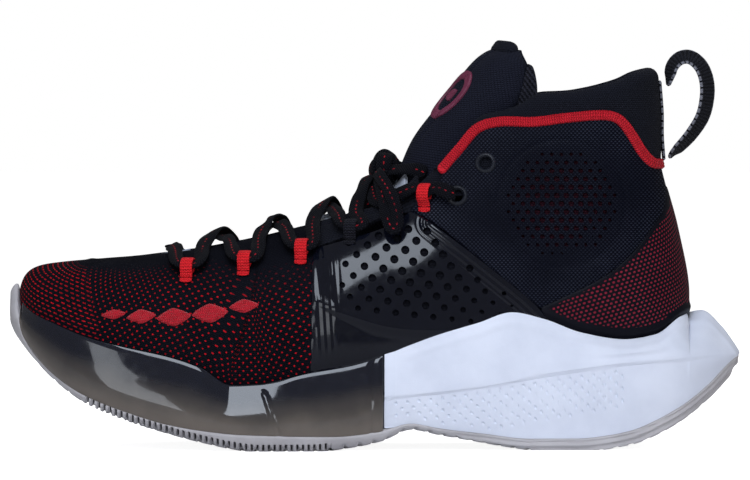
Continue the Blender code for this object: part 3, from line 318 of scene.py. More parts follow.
def grid_tris(rows, columns, closed=False):
    """Triangles of a grid of rows by columns; a closed grid joins its last column to its first."""
    i, j = np.meshgrid(np.arange(rows - 1), np.arange(columns if closed else columns - 1), indexing="ij")
    i, j = i.ravel(), j.ravel()
    n = (j + 1) % columns
    a, b, c, d = i * columns + j, (i + 1) * columns + j, (i + 1) * columns + n, i * columns + n
    return np.concatenate([np.stack([a, b, c], 1), np.stack([a, c, d], 1)])


def unit(v):
    return v / np.maximum(np.linalg.norm(v, axis=-1, keepdims=True), 1e-12)


def grid_normals(points, closed=False):
    """Normals of a grid of points, from its two directions."""
    along = np.gradient(points, axis=0)
    if closed:
        around = np.roll(points, -1, 1) - np.roll(points, 1, 1)
    else:
        around = np.gradient(points, axis=1)
    return unit(np.cross(along, around))


def faced(tris, co, no):
    """The triangles, turned over if they face against the normals."""
    a, b, c = (co[tris[:, k]] for k in range(3))
    against = (np.cross(b - a, c - a) * no[tris[:, 0]]).sum() < 0
    return tris[:, ::-1] if against else tris


def put(name, patch, look, angle=35.0, body="shoe", replaces=(), slot=None):
    """Makes the object: millimetres to metres, smooth but for real edges, riding on its body."""
    co, tris = patch.co, patch.tris
    tris = tris[(tris[:, 0] != tris[:, 1]) & (tris[:, 1] != tris[:, 2]) & (tris[:, 0] != tris[:, 2])]
    mesh = bpy.data.meshes.new(name)
    mesh.vertices.add(len(co))
    mesh.vertices.foreach_set("co", (co * MM).astype(np.float32).ravel())
    mesh.loops.add(tris.size)
    mesh.loops.foreach_set("vertex_index", tris.astype(np.int32).ravel())
    mesh.polygons.add(len(tris))
    mesh.polygons.foreach_set("loop_start", np.arange(0, tris.size, 3, dtype=np.int32))
    mesh.update(calc_edges=True)
    if "uv" in patch.values:
        layer = mesh.uv_layers.new(name="mm")
        layer.data.foreach_set("uv", (patch.uv[tris.ravel()] * UV_PER_MM).astype(np.float32).ravel())
    for key in ("edge", "tint"):
        if key in patch.values:
            layer = mesh.attributes.new(key, "FLOAT", "POINT")
            layer.data.foreach_set("value", patch.values[key].astype(np.float32))
    mesh.shade_smooth()
    mesh.set_sharp_from_angle(angle=math.radians(angle))
    mesh.materials.append(look)
    obj = bpy.data.objects.new(name, mesh)
    bpy.context.scene.collection.objects.link(obj)
    if body:
        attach(obj, body)
    if replaces:
        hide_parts(*replaces)
    return obj


def joined(*patches):
    """Several patches as one mesh."""
    start, tris = 0, []
    for patch in patches:
        tris.append(patch.tris + start)
        start += len(patch.co)
    shared = set.intersection(*[set(patch.values) for patch in patches])
    values = {key: np.concatenate([patch.values[key] for patch in patches]) for key in shared}
    return Patch(np.concatenate(tris), **values)


# ---------------------------------------------------------------- the last
def last_points(ring_at, angles):
    """Points of the last: rings by angle, where 0 is the top line, pi the bottom and 2 pi the top again."""
    rows = catmull(LAST, ring_at)[:, :, None]
    fx, fz, bx, bz, lateral, medial, shift, top, bottom = (rows[:, k] for k in range(9))
    side = np.where(angles > math.pi, 1.0, -1.0)[None]
    phi = np.where(angles > math.pi, 2 * math.pi - angles, angles)[None]
    upper = phi <= math.pi / 2
    power = 2 / np.where(upper, top, bottom)
    reach = np.abs(np.cos(phi)) ** power
    along = np.where(upper, WIDEST * (1 - reach), WIDEST + (1 - WIDEST) * reach)
    out = np.maximum(np.sin(phi), 0.0) ** power * np.where(side > 0, medial, lateral)
    return np.stack([fx + (bx - fx) * along, shift + side * out, fz + (bz - fz) * along], -1)


def last_patch(r0, r1, rings, a0, a1, around, closed=False):
    """Part of the last as a patch, with its outward normals."""
    ring_at = np.linspace(r0, r1, rings)
    angles = np.linspace(a0, a1, around, endpoint=not closed)
    points = last_points(ring_at, angles)
    normals = -grid_normals(points, closed)
    return Patch(grid_tris(rings, around, closed)[:, ::-1], co=points.reshape(-1, 3), no=normals.reshape(-1, 3))


def side_patch(side, r0, r1, rings, a0, a1, around):
    """One side of the last; a0 and a1 are angles down from the top line."""
    if side < 0:
        return last_patch(r0, r1, rings, a0, a1, around)
    return last_patch(r0, r1, rings, 2 * math.pi - a1, 2 * math.pi - a0, around)


WHOLE = last_patch(0.03, 18.0, 360, 0.0, 2 * math.pi, 144, closed=True)
LAST_TREE = BVHTree.FromPolygons(WHOLE.co.tolist(), WHOLE.tris.tolist())


def surface_normal(place, face):
    """The last's normal at a place in one of its triangles, smoothed over the triangle."""
    a, b, c = WHOLE.tris[face]
    pa, pb, pc = WHOLE.co[a], WHOLE.co[b], WHOLE.co[c]
    v0, v1, v2 = pb - pa, pc - pa, np.array(place) - pa
    d00, d01, d11, d20, d21 = v0 @ v0, v0 @ v1, v1 @ v1, v2 @ v0, v2 @ v1
    low = max(d00 * d11 - d01 * d01, 1e-12)
    v, w = (d11 * d20 - d01 * d21) / low, (d00 * d21 - d01 * d20) / low
    return Vector(unit(WHOLE.no[a] * (1 - v - w) + WHOLE.no[b] * v + WHOLE.no[c] * w))


def on_last(x, z, side, lift=0.0):
    """The point on the last at a place in the side view, and the normal there."""
    hit, _, face, _ = LAST_TREE.ray_cast(Vector((x, side * 200.0, z)), Vector((0, -side, 0)))
    normal = surface_normal(hit, face)
    return hit + normal * lift, normal


def sole_top(x):
    return pchip(SOLE[:, 0], SOLE[:, 3], x)


def over_sole(patch, tuck):
    """Height of each point over a line that runs tuck below the sole's top edge."""
    return patch.co[:, 2] - sole_top(patch.co[:, 0]) + tuck


THROAT_OUTLINE = [(x, -y) for x, y in THROAT] + [(x, y) for x, y in reversed(THROAT[1:])]


def throat_gap(patch):
    """Distance outside the throat opening in plan; far from the top it is always outside."""
    gap = -inside_by(patch.co[:, :2], THROAT_OUTLINE)
    return np.where(patch.co[:, 2] > 60.0, gap, 50.0)


# ---------------------------------------------------------------- materials
class Look:
    """A material built node by node. Numbers or sockets go straight into the inputs."""

    def __init__(self, name, **sockets):
        self.made = bpy.data.materials.new(name)
        self.made.use_nodes = True
        self.tree = self.made.node_tree
        self.shader = self.tree.nodes["Principled BSDF"]
        for key, value in sockets.items():
            self.set(key, value)

    def feed(self, socket, value):
        if isinstance(value, bpy.types.NodeSocket):
            self.tree.links.new(value, socket)
        else:
            socket.default_value = value

    def set(self, key, value):
        self.feed(self.shader.inputs[key.replace("_", " ")], value)

    def node(self, kind, inputs, output=0, **settings):
        made = self.tree.nodes.new("ShaderNode" + kind)
        for key, value in settings.items():
            setattr(made, key, value)
        for key, value in inputs.items():
            self.feed(made.inputs[key], value)
        return made.outputs[output]

    def math(self, operation, *values):
        return self.node("Math", dict(enumerate(values)), operation=operation)

    def step(self, value, low, high, to_low=0.0, to_high=1.0):
        return self.node("MapRange", {"Value": value, "From Min": low, "From Max": high, "To Min": to_low,
                                      "To Max": to_high}, interpolation_type="SMOOTHSTEP")

    def mix(self, factor, a, b):
        """A colour between a and b. A Mix node holds its colours in inputs 6 and 7 and in output 2."""
        a, b = ((*value, 1.0) if isinstance(value, tuple) else value for value in (a, b))
        return self.node("Mix", {0: factor, 6: a, 7: b}, output=2, data_type="RGBA")

    def uv(self):
        """The mesh's own coordinates along and up the piece, in millimetres."""
        place = self.node("UVMap", {}, uv_map="mm")
        scaled = self.node("VectorMath", {0: place, 1: (1 / UV_PER_MM,) * 3}, operation="MULTIPLY")
        parts = self.node("SeparateXYZ", {0: scaled}).node
        return parts.outputs["X"], parts.outputs["Y"]

    def place(self):
        """Object coordinates in millimetres."""
        coordinates = self.node("TexCoord", {}, output="Object")
        return self.node("VectorMath", {0: coordinates, 1: (1 / MM,) * 3}, operation="MULTIPLY")

    def noise(self, scale, detail=3.0):
        return self.node("TexNoise", {"Vector": self.place(), "Scale": scale, "Detail": detail,
                                      "Roughness": 0.55})

    def attribute(self, name):
        return self.node("Attribute", {}, output="Fac", attribute_name=name)

    def wave(self, value, pitch):
        """A smooth 0 to 1 wave along a coordinate."""
        turn = self.math("MULTIPLY", value, 2 * math.pi / pitch)
        return self.math("MULTIPLY_ADD", self.math("SINE", turn), 0.5, 0.5)

    def dots(self, u, v, pitch, row, half_long, half_tall, soft=0.12):
        """A lattice of rounded dots or dashes, each row half a pitch along from the one before."""
        line = self.math("FLOOR", self.math("DIVIDE", v, row))
        shift = self.math("MULTIPLY", self.math("PINGPONG", line, 1.0), 0.5)
        du = self.math("ADD", self.math("DIVIDE", u, pitch), shift)
        du = self.math("SUBTRACT", self.math("FRACT", du), 0.5)
        dv = self.math("SUBTRACT", self.math("FRACT", self.math("DIVIDE", v, row)), 0.5)
        du = self.math("DIVIDE", self.math("MULTIPLY", du, pitch), half_long)
        dv = self.math("DIVIDE", self.math("MULTIPLY", dv, row), half_tall)
        away = self.math("SQRT", self.math("ADD", self.math("POWER", self.math("ABSOLUTE", du), 2.6),
                                           self.math("POWER", self.math("ABSOLUTE", dv), 2.6)))
        return self.step(away, 1.0 - soft, 1.0 + soft, 1.0, 0.0)

    def bump(self, height_value, distance, strength=1.0):
        made = self.node("Bump", {"Height": height_value, "Distance": distance * MM, "Strength": strength})
        self.set("Normal", made)


def knit_base(look, u, v, pitch, row):
    """Knitted stitches: small rounded cells, offset row by row."""
    return look.dots(u, v, pitch, row, pitch * 0.46, row * 0.44, soft=0.5)


def knit_look(name, dark, light, pitch, row):
    """A knitted cloth in two tones, with slow blotches."""
    look = Look(name, Specular_IOR_Level=0.12, Sheen_Weight=0.015, Sheen_Roughness=0.5)
    u, v = look.uv()
    cells = knit_base(look, u, v, pitch, row)
    blotch = look.noise(0.06, 4.0)
    base = look.mix(look.step(look.math("MULTIPLY_ADD", blotch, 0.6, cells), 0.2, 1.4), dark, light)
    look.set("Base Color", base)
    look.set("Roughness", look.step(blotch, 0.3, 0.7, 0.78, 0.91))
    look.bump(cells, 0.25)
    return look.made


def vamp_look():
    """Black knit with red dashes that fade upwards. Here the edge attribute is 1 at the toe, where the
    dashes are long, and 0 behind it, where they are small dots."""
    look = Look("vamp_knit", Specular_IOR_Level=0.1)
    u, v = look.uv()
    fine = knit_base(look, u, v, 1.1, 0.8)
    wander = look.math("MULTIPLY", look.math("SUBTRACT", look.noise(0.35, 2.0), 0.5), 0.35)
    v_wander = look.math("ADD", v, wander)
    dashes = look.dots(u, v_wander, 3.1, 1.7, 0.95, 0.26)
    dots = look.dots(u, v_wander, 3.4, 1.7, 0.4, 0.36)
    tint = look.attribute("tint")
    toe = look.step(look.attribute("edge"), 0.35, 0.65)
    shown = look.math("ADD", look.math("MULTIPLY", dashes, toe),
                      look.math("MULTIPLY", dots, look.math("SUBTRACT", 1.0, toe)))
    shown = look.math("MULTIPLY", shown, look.step(tint, 0.03, 0.26, 0.0, 0.9))
    frayed = look.step(look.noise(0.8, 2.0), 0.3, 0.55, 0.45, 1.0)
    shown = look.math("MULTIPLY", shown, frayed)
    black = look.mix(look.noise(0.05, 4.0), (0.0018, 0.002, 0.0045), (0.005, 0.0056, 0.010))
    look.set("Base Color", look.mix(shown, black, RED_THREAD))
    look.set("Roughness", look.step(fine, 0.0, 1.0, 0.9, 0.72))
    look.bump(look.math("MULTIPLY_ADD", shown, 0.8, fine), 0.28)
    return look.made


def coated_look():
    """The ankle panel: black coated mesh with a fine lattice of paler dots, brighter by its edges."""
    look = Look("coated_mesh", Specular_IOR_Level=0.1)
    u, v = look.uv()
    dots = look.dots(u, v, 1.65, 0.85, 0.42, 0.3, soft=0.3)
    lit = look.step(look.attribute("edge"), 2.0, 16.0, 1.0, 0.4)
    patchy = look.step(look.noise(0.04, 3.0), 0.35, 0.7, 0.5, 1.0)
    amount = look.math("MULTIPLY", look.math("MULTIPLY", dots, lit), patchy)
    look.set("Base Color", look.mix(amount, (0.0012, 0.0016, 0.0055), (0.024, 0.028, 0.046)))
    look.set("Roughness", look.step(dots, 0.0, 1.0, 0.62, 0.42))
    look.bump(dots, 0.16)
    return look.made


def heel_look():
    """The heel panel: rows of square red dots on black, with a plain margin at the bottom."""
    look = Look("dotted_synthetic", Specular_IOR_Level=0.16)
    u, v = look.uv()
    dots = look.dots(u, v, 2.0, 1.7, 0.54, 0.47, soft=0.18)
    tint = look.attribute("tint")
    shown = look.math("MULTIPLY", dots, look.step(tint, 0.0, 0.12))
    base = look.mix(look.noise(0.06, 3.0), (0.002, 0.0022, 0.005), (0.005, 0.0052, 0.01))
    hue = look.mix(look.noise(0.03, 2.0), (0.14, 0.006, 0.018), (0.26, 0.018, 0.04))
    look.set("Base Color", look.mix(shown, base, hue))
    look.set("Roughness", look.step(shown, 0.0, 1.0, 0.5, 0.36))
    look.bump(look.math("ADD", shown, look.math("MULTIPLY", look.noise(1.2, 2.0), 0.15)), 0.25)
    return look.made


def film_look():
    """The glossy moulded cage film, with a faint ripple and a few dull scuffs."""
    look = Look("gloss_film", Coat_Weight=0.35, Coat_Roughness=0.04, Specular_IOR_Level=0.45)
    tone = look.noise(0.05, 3.0)
    look.set("Base Color", look.mix(tone, (0.002, 0.0024, 0.006), (0.0045, 0.0055, 0.011)))
    look.set("Roughness", look.step(look.noise(0.25, 4.0), 0.45, 0.75, 0.1, 0.26))
    look.bump(look.noise(0.12, 2.0), 0.12, 0.35)
    return look.made


def webbing_look(name, low, high, rough=0.6, pitch=1.1, sheen=0.02, edge_tint=None):
    """A woven band: ribs across it, small stitches along it, and a row of pale ones by its edges if asked."""
    look = Look(name, Specular_IOR_Level=0.2, Sheen_Weight=sheen, Sheen_Roughness=0.4)
    u, v = look.uv()
    across = look.wave(look.math("ADD", u, look.math("MULTIPLY", look.wave(v, 1.3), 0.35)), pitch)
    along = look.wave(v, 0.9)
    weave = look.math("MULTIPLY_ADD", along, 0.35, across)
    tone = look.math("MULTIPLY_ADD", look.noise(0.3, 3.0), 0.5, look.math("MULTIPLY", weave, 0.5))
    colour = look.mix(look.step(tone, 0.2, 0.95), low, high)
    if edge_tint:
        stitches = look.dots(u, v, 3.0, 100.0, 1.1, 100.0)
        at_edge = look.math("MULTIPLY", stitches, look.step(look.attribute("edge"), 0.6, 1.5, 1.0, 0.0))
        colour = look.mix(at_edge, colour, edge_tint)
    look.set("Base Color", colour)
    look.set("Roughness", look.step(weave, 0.0, 1.3, rough + 0.12, rough - 0.06))
    look.bump(weave, 0.3)
    return look.made


def lace_look():
    """Flat black lace with two rows of small red dashes."""
    look = Look("lace", Specular_IOR_Level=0.15, Sheen_Weight=0.015)
    u, v = look.uv()
    one, other = (look.wave(look.math(operation, u, v), 1.2) for operation in ("ADD", "SUBTRACT"))
    weave = look.math("MULTIPLY", one, other)
    rows = look.dots(u, look.math("ADD", v, 1.75), 2.9, 3.5, 0.62, 0.27)
    broken = look.step(look.noise(0.12, 2.0), 0.4, 0.55)
    red = look.math("MULTIPLY", rows, broken)
    black = look.mix(weave, (0.0012, 0.0014, 0.003), (0.0065, 0.007, 0.0125))
    look.set("Base Color", look.mix(red, black, (0.36, 0.01, 0.018)))
    look.set("Roughness", look.step(weave, 0.0, 1.0, 0.82, 0.62))
    look.bump(weave, 0.35)
    return look.made


def moulded_look(name, low, high, rough, grain=1.6, depth=0.06, spread=0.06, **sockets):
    """Moulded rubber, foam or plastic: slow tone changes, a fine grain and a varied gloss."""
    look = Look(name, **sockets)
    look.set("Base Color", look.mix(look.step(look.noise(0.04, 4.0), 0.3, 0.7), low, high))
    look.set("Roughness", look.step(look.noise(0.3, 4.0), 0.3, 0.7, rough - spread, rough + spread))
    look.bump(look.noise(grain, 3.0), depth)
    return look.made


def smoke_look():
    """The smoky shell: almost black above, clearer and browner below, glossy all over."""
    look = Look("smoky_tpu", Coat_Weight=0.8, Coat_Roughness=0.03, IOR=1.5)
    tint = look.attribute("tint")
    cloud = look.math("MULTIPLY_ADD", look.math("SUBTRACT", look.noise(0.05, 3.0), 0.5), 0.35, tint)
    low = look.mix(look.step(cloud, 0.0, 0.42), (0.15, 0.128, 0.112), (0.06, 0.053, 0.05))
    colour = look.mix(look.step(cloud, 0.3, 0.75), low, (0.007, 0.008, 0.015))
    look.set("Base Color", colour)
    look.set("Roughness", look.step(look.noise(0.2, 3.0), 0.4, 0.7, 0.07, 0.16))
    look.set("Subsurface Weight", 0.15)
    look.set("Subsurface Radius", (0.004, 0.003, 0.0025))
    look.bump(look.noise(0.08, 2.0), 0.15, 0.4)
    return look.made


def rubber_look():
    """The outsole's pale grey rubber. The slots between its teeth are painted near-black, as painted shade in
    the recesses.
    """
    look = Look("grey_rubber")
    u, _ = look.uv()
    # Painted shade: near-black colour in the slots between the teeth, where the tint attribute marks the
    # toothed band.
    painted_slot_shade = look.math("MULTIPLY", look.step(look.wave(u, SLOTS[2]), 0.68, 0.88), look.attribute("tint"))
    base = look.mix(look.step(look.noise(0.04, 4.0), 0.3, 0.7), (0.4, 0.385, 0.41), (0.5, 0.485, 0.51))
    look.set("Base Color", look.mix(painted_slot_shade, base, (0.03, 0.028, 0.032)))
    look.set("Roughness", look.step(look.noise(0.3, 4.0), 0.3, 0.7, 0.54, 0.66))
    look.bump(look.noise(1.5, 3.0), 0.05)
    return look.made


RED_THREAD = (0.55, 0.006, 0.014)
LOOKS = {
    "vamp": vamp_look(),
    "coated": coated_look(),
    "heel": heel_look(),
    "film": film_look(),
    "under": knit_look("under_mesh", (0.0016, 0.0016, 0.0035), (0.007, 0.0075, 0.012), pitch=1.5, row=1.2),
    "backing": knit_look("perforation_backing", (0.004, 0.0018, 0.004), (0.024, 0.004, 0.009), pitch=1.5,
                         row=1.2),
    "facing": knit_look("facing_knit", (0.0018, 0.002, 0.0045), (0.009, 0.01, 0.016), pitch=1.3, row=1.0),
    "collar": knit_look("collar_knit", (0.0022, 0.0026, 0.0055), (0.0085, 0.0095, 0.016), pitch=1.0, row=0.8),
    "tongue": knit_look("tongue_knit", (0.003, 0.0034, 0.008), (0.011, 0.0125, 0.023), pitch=1.4, row=1.0),
    "lining": knit_look("lining_mesh", (0.0016, 0.0016, 0.0035), (0.006, 0.006, 0.011), pitch=1.8, row=1.5),
    "insole": knit_look("insole_cloth", (0.008, 0.008, 0.012), (0.03, 0.03, 0.04), pitch=1.2, row=1.2),
    "red_band": webbing_look("red_webbing", (0.26, 0.004, 0.01), (0.6, 0.012, 0.026), pitch=1.0),
    "red_loop": webbing_look("red_loop_webbing", (0.4, 0.006, 0.01), (0.75, 0.014, 0.022), pitch=1.2),
    "satin": webbing_look("red_embroidery", (0.3, 0.005, 0.012), (0.62, 0.016, 0.034), rough=0.42,
                          pitch=0.75, sheen=0.2),
    "black_band": webbing_look("black_webbing", (0.0016, 0.0017, 0.0035), (0.010, 0.011, 0.018), pitch=1.4,
                               edge_tint=(0.17, 0.175, 0.21)),
    "black_loop": webbing_look("black_loop_webbing", (0.002, 0.002, 0.004), (0.012, 0.012, 0.02)),
    "elastic": webbing_look("elastic", (0.002, 0.0022, 0.0045), (0.02, 0.021, 0.032), pitch=1.6),
    "lace": lace_look(),
    "smoke": smoke_look(),
    "foam": moulded_look("white_foam", (0.62, 0.66, 0.78), (0.7, 0.74, 0.86), 0.42, grain=2.2, depth=0.05,
                         Subsurface_Weight=0.1, Subsurface_Radius=(0.004, 0.004, 0.004),
                         Specular_IOR_Level=0.35),
    "rubber": rubber_look(),
    "ring": moulded_look("black_plastic", (0.006, 0.007, 0.012), (0.012, 0.014, 0.022), 0.45),
    "tip": moulded_look("aglet_plastic", (0.008, 0.009, 0.012), (0.02, 0.022, 0.028), 0.2),
    "badge": moulded_look("plum_badge", (0.085, 0.014, 0.034), (0.14, 0.024, 0.055), 0.42),
    "throat": moulded_look("grey_film", (0.42, 0.46, 0.56), (0.58, 0.62, 0.72), 0.16, grain=0.6, depth=0.1,
                           spread=0.08),
    "core": moulded_look("core_foam", (0.3, 0.28, 0.26), (0.36, 0.34, 0.31), 0.75),
    "board": moulded_look("board", (0.4, 0.36, 0.28), (0.48, 0.43, 0.34), 0.85),
    "stiff": moulded_look("stiffener", (0.5, 0.48, 0.42), (0.58, 0.56, 0.5), 0.75),
    "shank": moulded_look("shank", (0.014, 0.014, 0.016), (0.03, 0.03, 0.034), 0.35),
    "gel": moulded_look("gel", (0.04, 0.1, 0.26), (0.06, 0.15, 0.34), 0.25),
}
# The inner CAD nodes that no piece here replaces keep their own shape.
CAD_LOOKS = {"toe_puff": "stiff", "heel_counter": "stiff", "forefoot_foam": "core", "shank_plate": "shank",
             "heel_cushion_pod": "gel", "forefoot_cushion_pod": "gel", "strobel_board": "board"}
for cad_node, look_name in CAD_LOOKS.items():
    for material_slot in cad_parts[cad_node].material_slots:
        material_slot.material = LOOKS[look_name]


# ---------------------------------------------------------------- the upper
def rounded(edge, high, radius=1.2, low=0.15):
    """A lift that rolls over near a piece's edge."""
    return low + (high - low) * quarter(edge / radius)


def sole_rim():
    """The line where the sole's top edge lies on the upper, from the lateral waist round the toe."""
    ring_at = np.linspace(0.2, 9.0, 420)
    halves = []
    for side in (-1, 1):
        angles = np.linspace(0.02, math.pi, 300)
        points = last_points(ring_at, angles if side < 0 else 2 * math.pi - angles)
        above = points[..., 2] - sole_top(points[..., 0])
        line = []
        for ring, gap in zip(points, above):
            k = int(np.argmax(gap < 0))
            if k > 0:
                t = gap[k - 1] / (gap[k - 1] - gap[k])
                line.append(ring[k - 1] * (1 - t) + ring[k] * t)
        halves.append(np.array(line))
    return np.concatenate([halves[0][::-1], halves[1]])


def along_line(line, at):
    """Points of a 3-D polyline at lengths along it."""
    length = lengths(line)
    return np.stack([np.interp(at, length, line[:, k]) for k in range(3)], 1)


def nearest(points, places):
    """For each point, the index of the nearest place and how far away it is."""
    tree = KDTree(len(places))
    for k, place in enumerate(places):
        tree.insert(place, k)
    tree.balance()
    index, away = zip(*[tree.find(point)[1:] for point in points])
    return np.array(index), np.array(away)


def from_line_3d(points, line):
    """Each point's distance from a 3-D line, and the length along the line to the nearest place."""
    at = np.arange(0.0, lengths(line)[-1], 0.15)
    index, away = nearest(points, along_line(line, at))
    return away, at[index]


VAMP_END = -26.0  # the seam across the vamp, where the facings and the cages start


def build_vamp():
    patch = last_patch(0.03, 9.8, 300, 0.0, 2 * math.pi, 260, closed=True)
    patch = patch.cut(over_sole(patch, 5.0))
    patch = patch.cut(VAMP_END - patch.co[:, 0])
    patch = patch.cut(throat_gap(patch))
    away, along = from_line_3d(patch.co, sole_rim())
    away = np.where(patch.co[:, 2] > sole_top(patch.co[:, 0]), away, -away)
    patch.values["uv"] = np.stack([along, away], 1)
    toe = smoothstep(-60.0, -130.0, patch.co[:, 0])
    patch.values["edge"] = smoothstep(-104.0, -124.0, patch.co[:, 0] + 0.25 * away)
    patch.values["tint"] = np.clip(1.0 - away / (30.0 + 22.0 * (1 - toe)), 0.0, 1.0) * (0.48 + 0.52 * toe)
    edge = np.minimum(throat_gap(patch), 60.0)
    # A faint rib follows the toe, where the knit changes over the toe puff.
    rib = 0.35 * bell(patch.co[:, 0] + 0.12 * np.abs(patch.co[:, 1]), -118.0, 1.6)
    put("knit_vamp", patch.thick(rounded(edge, 0.35) + rib * (away > 6), -1.0), LOOKS["vamp"],
        replaces=["vamp_knit"], slot="knit")


CAGE_LEFT = ((-26.0, 84.6), (-26.2, 60.0), (-26.8, 15.0))
CAGE_OUTLINE = np.vstack([CAGE_LEFT[::-1], smooth_line(CAGE_TOP), smooth_line(CAGE_REAR)[1:]])
HOLE_STEP_A, HOLE_STEP_B = np.array((4.6, 3.8)), np.array((3.2, -4.7))
HOLE_CENTRE = np.array((16.0, 78.0))


def lattice(centre, a, b, reach):
    """Points in rows along a and b, reach of them each way from a centre."""
    steps = range(-reach, reach + 1)
    return np.array([centre + i * a + j * b for i in steps for j in steps])


def pierced(patch, centres, radii):
    """The patch with round holes cut through it."""
    gap = np.full(len(patch.co), 99.0)
    place = patch.side_view()
    for (x, z), radius in zip(centres, radii):
        near = np.abs(place - (x, z)).max(1) < radius + 3.0
        gap[near] = np.minimum(gap[near], np.hypot(*(place[near] - (x, z)).T) - radius)
    return patch.cut(gap)


CAGE_SWEEP = ((-24.0, 62.0), (-12.0, 57.0), (8.0, 51.0), (36.0, 50.0), (62.0, 52.0))


def cage_patch(side, rings, around, inset, tuck):
    """The cage's area on one side of the last, smaller by inset and tucked in behind the sole's edge."""
    patch = side_patch(side, 7.8, 15.2, rings, 0.75, 2.75, around)
    patch = patch.cut(inside_by(patch.side_view(), CAGE_OUTLINE) - inset)
    patch = patch.cut(over_sole(patch, tuck))
    patch.values["uv"] = patch.side_view()
    return patch


def build_cages():
    centres = lattice(HOLE_CENTRE, HOLE_STEP_A, HOLE_STEP_B, 14)
    spread = np.hypot(*((centres - HOLE_CENTRE) * (0.9, 1.15)).T)
    radii = 1.75 - 0.85 * smoothstep(8.0, 46.0, spread)
    good = ((inside_by(centres, CAGE_OUTLINE) > 4.2) & (centres[:, 0] > -14.0)
            & (centres[:, 1] > 54.0 - 0.12 * centres[:, 0]))
    for name, side in SIDES.items():
        holed = pierced(cage_patch(side, 330, 210, 0.0, 4.0), centres[good], radii[good])
        place = holed.side_view()
        edge = inside_by(place, CAGE_OUTLINE)
        holed.values["edge"] = edge
        # Fine ribs by the front seam, a ridged rear edge, and a low swell that sweeps along the foot.
        left = (smoothstep(-13.0, -17.0, place[:, 0]) * smoothstep(1.0, 3.0, edge)
                * smoothstep(86.0, 78.0, place[:, 1]))
        ribs = 0.45 * left * (0.5 + 0.5 * ripple(place[:, 0] + 0.06 * place[:, 1], 2.6))
        rear = to_line(place, smooth_line(CAGE_REAR))[0]
        ridge = (0.55 * smoothstep(7.6, 6.0, rear) * (0.5 + 0.5 * ripple(rear, 2.4))
                 * smoothstep(0.8, 2.0, rear))
        swell = 0.7 * bell(to_line(place, smooth_line(CAGE_SWEEP))[0], 0.0, 2.2)
        lift = rounded(edge, 0.95, 1.4) + ribs + ridge + swell
        put(f"cage_film_{name}", holed.thick(lift, -0.5), LOOKS["film"], angle=32,
            replaces=[f"midfoot_cage_{name}"], slot="gloss_film")
        under = cage_patch(side, 90, 60, 1.5, 3.0)
        put(f"cage_backing_{name}", under.thick(-0.55, -1.1), LOOKS["under"], slot="knit")


FACING_OUTLINE = np.vstack([smooth_line(CAGE_TOP)[:-8],
                            ((25.6, 105.8), (17.0, 109.5), (10.0, 140.0), (VAMP_END, 140.0))])


def build_facings():
    for name, side in SIDES.items():
        patch = side_patch(side, 7.6, 14.0, 150, 0.0, 1.7, 110)
        patch = patch.cut(inside_by(patch.side_view(), FACING_OUTLINE) + 1.2)
        patch = patch.cut(patch.co[:, 0] - VAMP_END)
        patch = patch.cut(throat_gap(patch))
        along = to_line(patch.side_view(), smooth_line(CAGE_TOP))[1]
        gap = throat_gap(patch)
        patch.values["uv"] = np.stack([along, gap], 1)
        # A welted edge runs beside the throat, then a shallow channel.
        welt = 0.5 * bell(gap, 2.2, 1.3) - 0.3 * bell(gap, 5.2, 0.8)
        put(f"facing_{name}", patch.thick(rounded(gap, 0.5) + welt, -1.0), LOOKS["facing"],
            replaces=[f"eyestay_{name}"], slot="knit")


ANKLE_FRONT = ((13.9, 99.5), (24.6, 94.1), (46.0, 77.4), (69.2, 58.4))
ANKLE_TOP = ((128.0, 117.0), (119.0, 117.0), (114.0, 118.2), (110.0, 122.6), (106.0, 128.8), (102.0, 134.6),
             (98.0, 137.2), (92.5, 137.8), (79.0, 136.6), (66.0, 135.0), (52.4, 135.0), (43.6, 132.4),
             (36.4, 124.6), (29.0, 115.8), (25.0, 107.0), (13.9, 99.5))
ANKLE_OUTLINE = np.vstack([smooth_line(ANKLE_FRONT), smooth_line(REAR_SEAM[::-1]), smooth_line(ANKLE_TOP)])
ANKLE_HOLES, ANKLE_HOLES_REACH = np.array((77.6, 102.2)), 23.5
EYELET_BORE = 2.6


ANKLE_SWEEP = ((46.0, 116.0), (52.0, 100.0), (60.0, 84.0), (76.0, 74.0), (98.0, 76.0))


def ankle_patch(side, rings, around, inset=0.0, back=0.0):
    """The ankle panel's area on one side, smaller by inset, and set back from the throat."""
    patch = side_patch(side, 9.6, 17.4, rings, 0.0, 2.9, around)
    patch = patch.cut(inside_by(patch.side_view(), ANKLE_OUTLINE) - inset)
    patch = patch.cut(patch.co[:, 1] * side - 0.1)
    return patch.cut(throat_gap(patch) - back)


